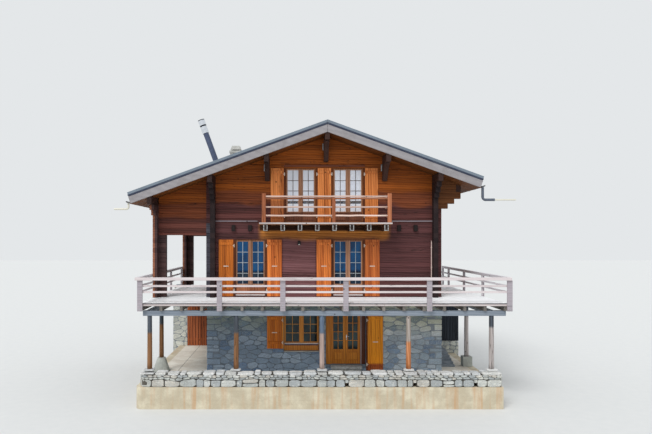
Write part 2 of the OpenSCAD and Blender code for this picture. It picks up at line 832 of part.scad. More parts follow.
module floor_beams() {
    color("saddlebrown")
        for (k = [0 : floor_beam_n - 1])
            let (x = floor_beam_x + k * floor_beam_pitch,
                 out = x > -balcony_left && x < balcony_right ? balcony_d : beam_stub)
                span([x - floor_beam_w / 2, -out, upper_beam_z],
                    [x + floor_beam_w / 2, house_d + beam_stub, upper_beam_z + floor_beam_h]);
}
module upper_floor() {
    color("burlywood") span([-log_left + log_t, log_t, upper_z - upper_board_t],
        [log_right - log_t, house_d - log_t, upper_z]);
}
module balcony_floor() {
    color("tan") span([-balcony_left, -balcony_d, upper_z - upper_board_t], [balcony_right, 0, upper_z]);
}
module balcony_posts() {
    color("darksalmon")
        for (k = [0 : 2])
            span([balcony_post_x[k] - balcony_post_w[k] / 2, -balcony_d, upper_z],
                [balcony_post_x[k] + balcony_post_w[k] / 2, -balcony_d + balcony_post_t,
                    upper_z + (k == 1 ? pole_z[2] - pole_r : balcony_post_h)]);
}
// Pole between two balcony posts
module balcony_pole(a, b, z) {
    x0 = balcony_post_x[a] + balcony_post_w[a] / 2;
    x1 = balcony_post_x[b] - balcony_post_w[b] / 2;
    translate([x0, -balcony_d + balcony_post_t / 2, upper_z + z]) rotate([0, 90, 0])
        cylinder(r = pole_r, h = x1 - x0);
}
module balcony_rails() {
    color("wheat") {
        balcony_pole(0, 2, pole_z[2]);
        for (z = [pole_z[0], pole_z[1]]) {
            balcony_pole(0, 1, z);
            balcony_pole(1, 2, z);
        }
        for (z = pole_z)
            for (x = [balcony_post_x[0], balcony_post_x[2]])
                translate([x, 0, upper_z + z]) rotate([90, 0, 0])
                    cylinder(r = side_pole_r, h = balcony_d - balcony_post_t);
    }
}
module trim_boards() {
    z = upper_z + french_sill + upper_window_h + trim_gap;
    ledge_z = upper_z + ledge_rise;
    color("peru") {
        span([trim_x[0], -trim_t, z], [trim_x[1], 0, z + trim_h]);
        span([-log_left + log_t, -trim_t, ledge_z], [-balcony_left - ledge_gap, 0, ledge_z + ledge_h]);
        span([balcony_right + ledge_gap, -trim_t, ledge_z], [log_right - log_t, 0, ledge_z + ledge_h]);
    }
}

// Section of a purlin at x, bevelled to the roof, or standing past it by rise
module purlin_section(x, rise) {
    a = x - purlin_w / 2;
    b = x + purlin_w / 2;
    low = min(soffit(a), soffit(b)) - purlin_h;
    top = abs(x) < purlin_w / 2 ? [[0, soffit_z + rise]] : [];
    polygon(concat([[a, low], [b, low], [b, soffit(b) + rise]], top, [[a, soffit(a) + rise]]));
}
module purlin_solids(rise, past) {
    for (x = [0, -mid_purlin_x, mid_purlin_x, -plate_left, plate_right, -left_purlin_x])
        in_xz(roof_y0 + barge_t, roof_y1 - barge_t) purlin_section(x, rise);
    in_xz(-past, house_d + past) purlin_section(right_purlin_x, rise);
}
module purlins() { color("saddlebrown") purlin_solids(-seat, 0); }
// Room for the purlins where they pass through a gable
module purlin_cuts() { purlin_solids(purlin_h, cut); }
// Brackets of stacked log ends under the ridge and middle purlins
module purlin_corbel(x, h) {
    low = min(soffit(x - purlin_w / 2), soffit(x + purlin_w / 2)) - purlin_h;
    in_yz(x - purlin_w / 2, x + purlin_w / 2)
        polygon(concat([[-corbel_reach, low], [0, low], [0, low - h], [-corbel_foot, low - h]],
            [for (p = corbel_shape) [-corbel_reach * p[0], low - h * p[1]]]));
}
module purlin_corbels() {
    color("saddlebrown")
        for (side = [0, 1])
            translate([0, side * house_d, 0]) mirror([0, side, 0]) {
                purlin_corbel(0, ridge_corbel_h);
                purlin_corbel(-mid_purlin_x, mid_corbel_h);
                purlin_corbel(mid_purlin_x, mid_corbel_h);
            }
}

// Strip of roof on one side: from x0 to x1, between two heights over the soffit
module roof_strip(x0, x1, low, high) {
    polygon([[x0, soffit(x0) + low], [x1, soffit(x1) + low],
        [x1, soffit(x1) + high], [x0, soffit(x0) + high]]);
}
// Strip of roof from the ridge to the eave at x, its end cut square to the slope
module square_strip(x0, x, low, high) {
    foot = x - sign(x) * (high - low) * sin(roof_a) * cos(roof_a);
    polygon([[x0, soffit(x0) + low], [foot, soffit(foot) + low],
        [x, soffit(x) + high], [x0, soffit(x0) + high]]);
}
module roof_slabs() {
    color("peru") in_xz(roof_y0 + barge_t, roof_y1 - barge_t) {
        roof_strip(-eave_left + eave_back, -split / 2, 0, roof_t);
        roof_strip(split / 2, eave_right - eave_back, 0, roof_t);
    }
}
module roof_covering() {
    y0 = roof_y0 + barge_t;
    y1 = roof_y1 - barge_t;
    n = floor((y1 - y0 - 2 * verge_w - seam_w) / seam_pitch);
    first = (y1 + y0 - n * seam_pitch) / 2;
    color("slategray") {
        in_xz(y0, y1) {
            roof_strip(-eave_left - sheet_over, -split, roof_t + seat, roof_t + sheet_t);
            roof_strip(split, eave_right + sheet_over, roof_t + seat, roof_t + sheet_t);
        }
        difference() {
            for (k = [0 : n])
                in_xz(first + k * seam_pitch - seam_w / 2, first + k * seam_pitch + seam_w / 2) {
                    roof_strip(-eave_left - sheet_over, -cap_w, roof_t + seat, roof_t + sheet_t + seam_h);
                    roof_strip(cap_w, eave_right + sheet_over, roof_t + seat, roof_t + sheet_t + seam_h);
                }
            chimney_skirt(roof_t, skirt_h);
            on_left_slope(flue_x, flue_y) translate([0, 0, -cut])
                cylinder(r = flue_r + collar_w + cut, h = 2 * seam_h);
        }
    }
}
module ridge_cap() {
    low = roof_t + sheet_t + seat;
    high = low + seam_h + cap_t;
    color("slategray") in_xz(roof_y0 + barge_t + verge_w, roof_y1 - barge_t - verge_w)
        polygon(concat([for (x = [-cap_w, 0, cap_w]) [x, soffit(x) + low]],
            [for (x = [cap_w, 0, -cap_w]) [x, soffit(x) + high]]));
}
// The same piece at the front and at the back edge of the roof
module both_ends() {
    children();
    translate([0, house_d, 0]) mirror([0, 1, 0]) children();
}
module bargeboards() {
    color("gainsboro") both_ends() in_xz(roof_y0, roof_y0 + barge_t) {
        square_strip(-split / 2, -eave_left, 0, barge_h);
        square_strip(split / 2, eave_right, 0, barge_h);
    }
}
module verge_flashings() {
    color("dimgray") both_ends() {
        in_xz(roof_y0 - 10, roof_y0 + barge_t) {
            square_strip(-split / 2, -eave_left - sheet_over, barge_h + seat, barge_h + verge_h);
            square_strip(split / 2, eave_right + sheet_over, barge_h + seat, barge_h + verge_h);
        }
        in_xz(roof_y0 + barge_t - 1, roof_y0 + barge_t + verge_w) {
            roof_strip(-eave_left - sheet_over, -split / 2, roof_t + sheet_t + seat, barge_h + verge_h);
            roof_strip(split / 2, eave_right + sheet_over, roof_t + sheet_t + seat, barge_h + verge_h);
        }
    }
}
// Half round gutter hung on the eave at x, with its flat back on the roof edge
module gutter(x, dir) {
    lip = gutter_r / 2;
    z = soffit(x) + roof_t - lip - gutter_drop;
    in_xz(roof_y0 + barge_t, roof_y1 - barge_t) {
        translate([x + dir * (gutter_r + gutter_t), z]) difference() {
            circle(r = gutter_r);
            circle(r = gutter_r - gutter_t);
            translate([-2 * gutter_r, 0]) square([4 * gutter_r, 2 * gutter_r]);
        }
        translate([dir > 0 ? x : x - 2 * gutter_t, z - lip]) square([2 * gutter_t, lip]);
    }
}
module gutters() {
    color("dimgray") {
        gutter(-eave_left + eave_back, -1);
        gutter(eave_right - eave_back, 1);
    }
}
// Rain spout: a short drop, a bend and a long outlet that throws the water clear
module rain_spout(dir, drop, reach, r, thin) {
    bend = 2.2 * r;
    sleeve = r + spout_sleeve;
    lap = spout_lap;
    translate([0, 0, -drop]) cylinder(r = sleeve, h = drop);
    translate([dir * bend, 0, -drop + lap]) rotate([90, 0, 0]) rotate([0, 0, dir > 0 ? 180 : 270])
        rotate_extrude(angle = 90) translate([bend, 0]) circle(r = r);
    translate([dir * (bend - lap), 0, -drop - bend + lap])
        rotate([0, dir * 90, 0]) {
            cylinder(r = sleeve, h = reach - thin);
            cylinder(r = thin > 0 ? outlet_r : sleeve, h = reach);
        }
}
module rain_spouts() {
    z = roof_t - gutter_r * 1.5 - gutter_drop;
    y = roof_y0 + barge_t + 2 * spout_r[1];
    left = eave_left - eave_back;
    right = eave_right - eave_back;
    color("dimgray") {
        translate([-left - gutter_r - gutter_t, y, soffit(left) + z])
            rain_spout(-1, left_spout_drop, left_spout_reach, spout_r[0], 0);
        translate([right + gutter_r + gutter_t, y, soffit(right) + z])
            rain_spout(1, right_spout_drop, right_spout_reach, spout_r[1], outlet_len);
    }
}

// Frame that stands square on the left roof slope at x and y
module on_left_slope(x, y) {
    translate([-x, y, soffit(x) + roof_t + sheet_t + seat]) rotate([0, -roof_a, 0]) children();
}
module flue_pipe() {
    color("darkslategray") on_left_slope(flue_x, flue_y) {
        cylinder(r = flue_r, h = flue_len);
        cylinder(r = flue_r + collar_w, h = collar_t);
    }
}
module flue_cowl() {
    ring = cowl_len / 12;
    drum = (cowl_len - ring) / 2;
    color("lightgray") on_left_slope(flue_x, flue_y) translate([0, 0, flue_len]) {
        cylinder(r = cowl_r, h = drum);
        translate([0, 0, drum]) cylinder(r = flue_r, h = ring);
        translate([0, 0, drum + ring]) cylinder(r = cowl_r, h = drum);
    }
}
// Metal skirt round the foot of the chimney, lying on the slope
module chimney_skirt(low, h) {
    half = chimney_w / 2 + skirt_w;
    in_xz(chimney_y - half, chimney_y + half)
        roof_strip(-chimney_x - half, -chimney_x + half, low, low + h);
}
module chimney() {
    a = -chimney_x - chimney_w / 2;
    b = -chimney_x + chimney_w / 2;
    lift = roof_t + sheet_t + seat;
    color("gainsboro") {
        in_xz(chimney_y - chimney_w / 2, chimney_y + chimney_w / 2)
            polygon([[a, soffit(a) + lift], [b, soffit(b) + lift], [b, chimney_top], [a, chimney_top]]);
        chimney_skirt(lift, skirt_h);
    }
}
module chimney_cowl() {
    w = chimney_w / 2 + cowl_over;
    foot = cowl_cap_w / 2;
    top = cowl_cap_top_w / 2;
    peg = foot - cowl_peg_in;
    side = [[-foot, 0], [foot, 0], [top, cowl_cap_h], [-top, cowl_cap_h]];
    color("whitesmoke") translate([-chimney_x, chimney_y, chimney_top]) {
        span([-w, -w, 0], [w, w, cowl_slab_t]);
        for (x = [-peg, peg - cowl_peg_w], y = [-peg, peg - cowl_peg_w])
            translate([x, y, cowl_slab_t]) cube([cowl_peg_w, cowl_peg_w, cowl_slot_h]);
        translate([0, 0, cowl_slab_t + cowl_slot_h]) intersection() {
            in_xz(-foot, foot) polygon(side);
            in_yz(-foot, foot) polygon(side);
        }
    }
}

module deck_posts() {
    color("rosybrown") {
        for (x = post_x)
            translate([x, -deck_front + edge_board_t + beam_w, parapet_top])
                cylinder(r = post_r, h = beam_z - parapet_top);
        translate([left_post[0], left_post[1], terrace_z + cone_h])
            cylinder(r = post_r, h = beam_z - terrace_z - cone_h);
        translate([right_post[0], right_post[1], terrace_z + block_h])
            cylinder(r = post_r, h = beam_z - terrace_z - block_h);
    }
}
module deck_beams() {
    y0 = -deck_front + edge_board_t + beam_w / 2;
    color("slategray") {
        span([-deck_left + beam_short, y0, beam_z], [deck_right, y0 + beam_w, beam_top]);
        for (p = [[left_post[0], deck_back], [right_post[0], right_deck_back]])
            span([p[0] - beam_w / 2, y0 + beam_w + split, beam_z],
                [p[0] + beam_w / 2, p[1], beam_top]);
    }
}
// Joists of one side deck
module wing_joists(x0, x1, back) {
    n = round(back / wing_pitch);
    pitch = (back - joist_w - split) / n;
    for (k = [0 : n])
        span([x0, split + k * pitch, beam_top], [x1, split + k * pitch + joist_w, beam_top + joist_h]);
}
module deck_joists() {
    y0 = -deck_front + edge_board_t;
    x0 = -deck_left + joist_start;
    pitch = (deck_right - joist_w / 2 - x0) / (joist_n - 1);
    color("gray") {
        for (x = concat([-deck_left + joist_w / 2], [for (k = [0 : joist_n - 1]) x0 + k * pitch]))
            span([x - joist_w / 2, y0, beam_top], [x + joist_w / 2, 0, beam_top + joist_h]);
        wing_joists(-deck_left, -stone_left, deck_back);
        wing_joists(stone_right, deck_right, right_deck_back);
    }
}
module deck_boards() {
    z0 = first_z - deck_board_t;
    color("whitesmoke") {
        span([-deck_left, -deck_front + edge_board_t + split, z0], [deck_right, 0, first_z]);
        span([-deck_left, split, z0], [-stone_left, deck_back, first_z]);
        span([stone_right, split, z0], [deck_right, right_deck_back, first_z]);
        span([-deck_left, -deck_front, first_z - edge_board_h],
            [deck_right, -deck_front + edge_board_t, first_z]);
    }
}
// A run of deck rail: posts bolted outside the deck edge, a hand rail on them
// from a to b and two lower rails inside them for each stretch in runs
module rail_run(a, b, posts, runs) {
    top = first_z + rail_h;
    for (p = posts)
        span([p - rail_post_w / 2, -rail_post_t, beam_top], [p + rail_post_w / 2, 0, top - hand_rail_t]);
    span([a, -hand_rail_w, top - hand_rail_t], [b, 0, top]);
    for (run = runs, z = low_rail_z)
        span([run[0], 0, first_z + z - low_rail_h / 2],
            [run[1], low_rail_t, first_z + z + low_rail_h / 2]);
}
module deck_rail_front() {
    color("lightsteelblue") translate([0, -deck_front, 0])
        rail_run(-deck_left - hand_rail_w, deck_right + hand_rail_w,
            rail_post_x, [[-deck_left, deck_right]]);
}
module deck_rail_left() {
    front = deck_front - low_rail_t;
    color("lightsteelblue") translate([-deck_left, 0, 0]) rotate([0, 0, -90])
        rail_run(-deck_back, deck_front, mirrored(concat(rail_left_y, [deck_back - rail_post_end])),
            [[log_over_y, front], [-deck_back, -2 * log_over_y]]);
}
module deck_rail_right() {
    front = -deck_front + low_rail_t;
    color("lightsteelblue") translate([deck_right, 0, 0]) rotate([0, 0, 90])
        rail_run(-deck_front, right_deck_back, concat(rail_right_y, [right_deck_back - rail_post_end]),
            [[front, right_deck_back]]);
}

// Fixed frame of a window: ring, middle member and the panel under the glass
module window_frame(w, h, panel, y) {
    x = w / 2;
    span([-x, y, 0], [-x + frame_w, y + frame_d, h]);
    span([x - frame_w, y, 0], [x, y + frame_d, h]);
    span([-x + frame_w, y, 0], [x - frame_w, y + frame_d, frame_w]);
    span([-x + frame_w, y, h - frame_w], [x - frame_w, y + frame_d, h]);
    span([-mullion_w / 2, y, frame_w], [mullion_w / 2, y + frame_d, h - frame_w]);
    if (panel > 0)
        span([-x + frame_w, y + frame_d / 3, frame_w], [x - frame_w, y + frame_d * 2 / 3, panel]);
}
module window_pane(w, h, panel, y) {
    x = w / 2 - frame_w;
    for (s = [0, 1])
        mirror([s, 0, 0])
            span([mullion_w / 2, y + frame_d / 2 - glass_t / 2, max(panel, frame_w)],
                [x, y + frame_d / 2 + glass_t / 2, h - frame_w]);
}
module window_frames() {
    color("peru") {
        for (w = log_windows)
            on_wall(w[0], log_left, log_right) translate([w[1], 0, w[2]])
                window_frame(w[3], w[4], w[5], frame_inset);
        for (w = stone_windows)
            on_wall(w[0], stone_left, stone_right) translate([w[1], 0, w[2]])
                window_frame(w[3], w[4], w[5], stone_inset);
    }
}
module window_glass() {
    color("midnightblue") {
        for (w = log_windows)
            on_wall(w[0], log_left, log_right) translate([w[1], 0, w[2]])
                window_pane(w[3], w[4], w[5], frame_inset);
        for (w = stone_windows)
            on_wall(w[0], stone_left, stone_right) translate([w[1], 0, w[2]])
                window_pane(w[3], w[4], w[5], stone_inset);
    }
}
// An open shutter flat on the wall: a board panel with battens across it
module shutter(x0, x1, z, h) {
    span([x0, -shutter_t, z], [x1, 0, z + h]);
    for (b = [batten_end, h - batten_end - batten_h])
        span([x0 + batten_inset, -shutter_t - batten_t, z + b],
            [x1 - batten_inset, -shutter_t, z + b + batten_h]);
}
module shutters() {
    g = french_w / 2 + shutter_gap;
    ux = upper_window_x;
    fx = first_window_x;
    half = (ux[1] - ux[0]) / 2 - g;
    mid = (ux[0] + ux[1]) / 2;
    gx = ground_window_x - ground_window_w / 2 - shutter_gap;
    dx = door_x + door_w + shutter_gap;
    foot = terrace_z + door_shutter_gap;
    color("chocolate") {
        for (x = fx) {
            shutter(x - g - first_shutter_w, x - g, first_z + french_sill, first_window_h);
            shutter(x + g, x + g + first_shutter_w, first_z + french_sill, first_window_h);
        }
        shutter(ux[0] - g - upper_shutter_w, ux[0] - g, upper_z + french_sill, upper_window_h);
        shutter(mid - half, mid - split, upper_z + french_sill, upper_window_h);
        shutter(mid + split, mid + half, upper_z + french_sill, upper_window_h);
        shutter(ux[1] + g, ux[1] + g + upper_shutter_w, upper_z + french_sill, upper_window_h);
        shutter(gx - ground_shutter_w, gx, ground_sill_z + ground_shutter_rise,
            ground_window_h - ground_shutter_rise);
        shutter(dx, dx + door_shutter_w, foot, ground_sill_z + ground_window_h - foot);
        for (w = log_windows)
            if (w[0] > 0)
                let (half = w[3] / 2, edge = half + shutter_gap)
                    on_wall(w[0], log_left, log_right) {
                        shutter(w[1] - edge - half, w[1] - edge, w[2], w[4]);
                        shutter(w[1] + edge, w[1] + edge + half, w[2], w[4]);
                    }
    }
}

module door_frame() {
    y0 = stone_inset;
    y1 = stone_inset + door_frame_d;
    color("sienna") {
        span([door_x, y0, ground_z], [door_x + jamb_w, y1, door_top]);
        span([door_x + door_w - jamb_w, y0, ground_z], [door_x + door_w, y1, door_top]);
        span([door_x + jamb_w, y0, door_top - door_head_h], [door_x + door_w - jamb_w, y1, door_top]);
        for (z = hinge_z) {
            hinge_pin(hinge_left_x, -1, leaf_z + z);
            hinge_pin(hinge_right_x, 1, leaf_z + z);
        }
    }
}
// Lower half of a lift-off hinge: knuckle, pin and the flap on the jamb
module hinge_pin(x, dir, z) {
    r = pin_r + knuckle_wall;
    translate([x, hinge_y, z]) {
        cylinder(r = r, h = knuckle_l);
        cylinder(r = pin_r, h = knuckle_l + pin_l);
        translate([dir > 0 ? 0 : -flap_w, -r, 0]) cube([flap_w, flap_t, knuckle_l]);
    }
}
// Upper half, on the leaf, with the blind bore that the pin stands in
module hinge_eye(x, dir, z) {
    r = pin_r + knuckle_wall;
    depth = leaf_y + leaf_t - hinge_y;
    translate([x, hinge_y, z + knuckle_l + hinge_seat]) difference() {
        union() {
            cylinder(r = r, h = knuckle_l);
            translate([dir > 0 ? 0 : -flap_w, depth, 0]) cube([flap_w, flap_t, knuckle_l]);
            translate([dir > 0 ? 0 : -r, depth, 0]) cube([r, -depth, knuckle_l]);
        }
        translate([0, 0, -cut]) cylinder(r = pin_r + hinge_fit, h = cut + pin_l + 2);
    }
}
// One leaf of the glazed door, from x0 to x1, opening inward on its outer side
module door_leaf(x0, hinge_x, dir) {
    x1 = x0 + leaf_w;
    y0 = leaf_y;
    y1 = leaf_y + leaf_t;
    color("peru") {
        difference() {
            span([x0, y0, leaf_z], [x1, y1, leaf_top]);
            span([x0 + stile_w, y0 - cut, leaf_z + leaf_panel_h],
                [x1 - stile_w, y1 + cut, leaf_top - stile_w]);
            span([x0 + stile_w, y0 - cut, leaf_z + 1.5 * stile_w],
                [x1 - stile_w, y0 + panel_recess, leaf_z + leaf_panel_h - stile_w]);
        }
        for (z = hinge_z)
            hinge_eye(hinge_x, dir, leaf_z + z);
    }
}
module door_pane(x0) {
    y = leaf_y + leaf_t / 2 - glass_t / 2;
    color("midnightblue") span([x0 + stile_w, y, leaf_z + leaf_panel_h],
        [x0 + leaf_w - stile_w, y + glass_t, leaf_top - stile_w]);
}
left_leaf_x = door_x + jamb_w + leaf_gap;
right_leaf_x = left_leaf_x + leaf_w + leaf_gap;
module door_leaf_left() { door_leaf(left_leaf_x, hinge_left_x, 1); }
module door_leaf_right() { door_leaf(right_leaf_x, hinge_right_x, -1); }
module door_glass_left() { door_pane(left_leaf_x); }
module door_glass_right() { door_pane(right_leaf_x); }
module door_step() {
    x = door_x + door_w / 2;
    color("slategray") span([x - step_stone_w / 2, -step_stone_d, terrace_z],
        [x + step_stone_w / 2, 0, ground_z]);
}
module wall_lamp() {
    w = lamp_plate / 2;
    b = lamp_body / 2;
    z = first_z + lamp_rise;
    plate_t = 20;
    color("black") {
        span([lamp_x - w[0], -plate_t, z - w[1]], [lamp_x + w[0], 0, z + w[1]]);
        span([lamp_x - b[0], -lamp_out, z - b[1]], [lamp_x + b[0], -plate_t, z + b[1]]);
    }
}

retaining_wall();
stone_parapet();
terrace_floor();
post_bases();
side_steps();
side_stone_walls();
slat_screens();
front_wall_left();
front_wall_right();
front_wall_center();
stone_wall_left();
stone_wall_right();
stone_wall_back();
ground_floor();
first_floor();
log_wall_front();
log_wall_left();
log_wall_right();
log_wall_back();
gable_wall_front();
loggia_gables();
loggia_pillars();
floor_beams();
upper_floor();
balcony_floor();
balcony_posts();
balcony_rails();
trim_boards();
purlins();
purlin_corbels();
roof_slabs();
roof_covering();
bargeboards();
verge_flashings();
ridge_cap();
gutters();
rain_spouts();
flue_pipe();
flue_cowl();
chimney();
chimney_cowl();
deck_posts();
deck_beams();
deck_joists();
deck_boards();
deck_rail_front();
deck_rail_left();
deck_rail_right();
window_frames();
window_glass();
shutters();
door_frame();
door_leaf_left();
door_leaf_right();
door_glass_left();
door_glass_right();
door_step();
wall_lamp();
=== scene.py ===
# Alpine chalet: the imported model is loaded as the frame, and then dressed in the order
# in which the house was built, from the retaining wall up to the roof, then its joinery.
import math
import random

import bmesh
import bpy
from mathutils import Matrix, Vector, noise


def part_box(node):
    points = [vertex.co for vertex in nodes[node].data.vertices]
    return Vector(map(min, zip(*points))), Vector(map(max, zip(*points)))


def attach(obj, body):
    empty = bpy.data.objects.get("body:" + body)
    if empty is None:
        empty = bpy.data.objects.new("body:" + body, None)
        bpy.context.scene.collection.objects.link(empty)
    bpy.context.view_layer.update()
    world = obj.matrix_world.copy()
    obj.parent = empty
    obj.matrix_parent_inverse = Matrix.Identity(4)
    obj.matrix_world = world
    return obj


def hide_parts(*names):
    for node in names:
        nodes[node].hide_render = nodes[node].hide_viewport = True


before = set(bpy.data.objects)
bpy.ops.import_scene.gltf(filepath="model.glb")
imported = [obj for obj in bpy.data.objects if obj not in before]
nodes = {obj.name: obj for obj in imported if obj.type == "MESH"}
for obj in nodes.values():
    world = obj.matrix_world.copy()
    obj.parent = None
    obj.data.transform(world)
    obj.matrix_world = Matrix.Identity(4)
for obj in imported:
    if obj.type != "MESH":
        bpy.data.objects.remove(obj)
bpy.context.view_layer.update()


# The studio: a plain pale floor, even light from all round and one broad soft lamp at the left.
# The camera stands 22 m in front of the walls, level, at the height of the first floor windows.
def put(tree, kind, values=None, **settings):
    """Puts a node in a tree, with its settings, and a value or a link for each named input."""
    node = tree.nodes.new(kind)
    for name, value in settings.items():
        setattr(node, name, value)
    for key, value in (values or {}).items():
        if isinstance(value, bpy.types.NodeSocket):
            tree.links.new(value, node.inputs[key])
        else:
            node.inputs[key].default_value = value
    return node


def result(tree, kind, values=None, **settings):
    return put(tree, kind, values, **settings).outputs[0]


def paint(red, green, blue):
    """A colour as it is seen, from 0 to 255, in the renderer's own values."""
    seen = [v / 255 for v in (red, green, blue)]
    return [v / 12.92 if v <= 0.04045 else ((v + 0.055) / 1.055) ** 2.4 for v in seen] + [1.0]


def finish(name, rough, metal=0.0):
    """A new material, its tree and its shader."""
    material = bpy.data.materials.new(name)
    material.use_nodes = True
    shader = material.node_tree.nodes["Principled BSDF"]
    shader.inputs["Roughness"].default_value = rough
    shader.inputs["Metallic"].default_value = metal
    return material, material.node_tree, shader


def reckon(tree, how, a, b=0.0, c=0.0, clamp=False):
    return result(tree, "ShaderNodeMath", {0: a, 1: b, 2: c}, operation=how, use_clamp=clamp)


def fade(tree, value, start, end, low=0.0, high=1.0):
    """Goes smoothly from low to high while the value goes from start to end."""
    inputs = {"Value": value, "From Min": start, "From Max": end, "To Min": low, "To Max": high}
    return result(tree, "ShaderNodeMapRange", inputs, interpolation_type="SMOOTHSTEP")


def mixed(tree, share, first, second, how="MIX"):
    """Two colours mixed, each a socket or a seen (red, green, blue): share 0 is the first, 1 the second."""
    first, second = [paint(*c) if isinstance(c, tuple) else c for c in (first, second)]
    inputs = {0: share, 6: first, 7: second}
    return put(tree, "ShaderNodeMix", inputs, data_type="RGBA", blend_type=how).outputs[2]


def place_of(tree):
    return put(tree, "ShaderNodeTexCoord").outputs["Object"]


def cloud(tree, point, scale, detail=2.0, rough=0.5, twist=0.0):
    inputs = {"Vector": point, "Scale": scale, "Detail": detail, "Roughness": rough, "Distortion": twist}
    return put(tree, "ShaderNodeTexNoise", inputs).outputs["Fac"]


def feed(shader, height=None, depth=0.0, strength=1.0, **links):
    """Links what varies to the shader, Base_Color for Base Color; a height is pressed in as relief."""
    tree = shader.id_data
    for name, value in links.items():
        tree.links.new(value, shader.inputs[name.replace("_", " ")])
    if height:
        bump = result(tree, "ShaderNodeBump", {"Height": height, "Distance": depth, "Strength": strength})
        tree.links.new(bump, shader.inputs["Normal"])


def coat(name, rough, metal, deep, pale, cells, detail=4, fine=0.5, edges=None, gloss=None):
    """A thin finish of two near shades in patches; edges sharpen them, and gloss is their roughness."""
    material, tree, shader = finish(name, rough, metal)
    patch = cloud(tree, place_of(tree), cells, detail, fine)
    share = fade(tree, patch, *edges) if edges else patch
    feed(shader, Base_Color=mixed(tree, share, deep, pale))
    if gloss:
        feed(shader, Roughness=fade(tree, patch, 0.3, 0.7, *gloss))
    return material


def set_down(name, data):
    """A new object in the scene, at the origin."""
    thing = bpy.data.objects.new(name, data)
    scene.collection.objects.link(thing)
    return thing


scene = bpy.context.scene
scene.view_settings.view_transform = "Standard"
eye = bpy.data.cameras.new("camera")
eye.lens = 31.6
eye.shift_x = 0.052
eye.shift_y = 0.035
eye.clip_end = 500
scene.camera = set_down("camera", eye)
scene.camera.location = (-1.30, -22.0, 5.80)
scene.camera.rotation_euler = (math.radians(90), 0, 0)

studio = bpy.data.worlds.new("studio")
studio.use_nodes = True
scene.world = studio
tree = studio.node_tree
tree.nodes.clear()
ray = put(tree, "ShaderNodeLightPath").outputs
mirror = reckon(tree, "MAXIMUM", ray["Is Glossy Ray"], ray["Is Transmission Ray"])
bare = reckon(tree, "MAXIMUM", ray["Is Camera Ray"], mirror)
light = result(tree, "ShaderNodeBackground", {"Color": (0.95, 0.97, 1, 1), "Strength": 0.84})
backdrop = result(tree, "ShaderNodeBackground", {"Color": paint(228, 231, 233), "Strength": 1.0})
both = result(tree, "ShaderNodeMixShader", {0: bare, 1: light, 2: backdrop})
put(tree, "ShaderNodeOutputWorld", {"Surface": both})

lamp = bpy.data.lights.new("broad_lamp", "SUN")
lamp.energy = 1.6
lamp.angle = math.radians(24)
set_down("broad_lamp", lamp).rotation_euler = (math.radians(44), 0, math.radians(-34))

floor_half = 140
ground = bpy.data.meshes.new("studio_floor")
corners = [(floor_half * x, floor_half * y, 0) for x, y in ((-1, -1), (1, -1), (1, 1), (-1, 1))]
ground.from_pydata(corners, [], [(0, 1, 2, 3)])
ground.materials.append(coat("studio_floor", 0.9, 0.0, (212, 214, 213), (220, 221, 219), 3.0))
set_down("studio_floor", ground)


# The retaining wall is concrete cast against rough boards, cream, with rust coloured runs down its face.
# The terrace is a pale concrete slab with its joints cut every two metres.
def group(name, given, made):
    """An empty shader group with named inputs and outputs."""
    tree = bpy.data.node_groups.new(name, "ShaderNodeTree")
    for label, kind in given:
        tree.interface.new_socket(label, in_out="INPUT", socket_type="NodeSocket" + kind)
    for label in made:
        tree.interface.new_socket(label, in_out="OUTPUT", socket_type="NodeSocketFloat")
    return tree, tree.nodes.new("NodeGroupInput").outputs, tree.nodes.new("NodeGroupOutput").inputs


def parts_of(tree, point):
    return put(tree, "ShaderNodeSeparateXYZ", {0: point}).outputs


def stretched(tree, point, by):
    return result(tree, "ShaderNodeVectorMath", {0: point, 1: by}, operation="MULTIPLY")


def scaled(tree, way, by):
    return result(tree, "ShaderNodeVectorMath", {0: way, "Scale": by}, operation="SCALE")


def zone(soft=0.01, **limits):
    """A mask that is 1 between the (low, high) limits given for x, y and z; None is no limit."""
    def mask(tree, here):
        share, xyz = 1.0, parts_of(tree, here)
        for axis, (low, high) in limits.items():
            place = xyz[axis.upper()]
            if low is not None:
                share = reckon(tree, "MULTIPLY", share, fade(tree, place, low - soft, low + soft))
            if high is not None:
                under = fade(tree, place, high - soft, high + soft, 1.0, 0.0)
                share = reckon(tree, "MULTIPLY", share, under)
        return share
    return mask


def tinted_and_shaded(tree, here, colour, tints_and_shade):
    """A colour multiplied by a tint in some places, some of the tints being painted shade: each is a (mask,
    tint).
    """
    for mask, tint in tints_and_shade:
        colour = mixed(tree, mask(tree, here), colour, tint, "MULTIPLY")
    return colour


runs, given, made = group("runs", [("Point", "Vector"), ("Width", "Float")], ["Run", "Blotch"])
tall = scaled(runs, stretched(runs, given["Point"], (1, 1, 0.06)), given["Width"])
runs.links.new(fade(runs, cloud(runs, tall, 1.0, 3, 0.6), 0.48, 0.72), made["Run"])
runs.links.new(fade(runs, cloud(runs, given["Point"], 1.7, 5, 0.62), 0.38, 0.68), made["Blotch"])


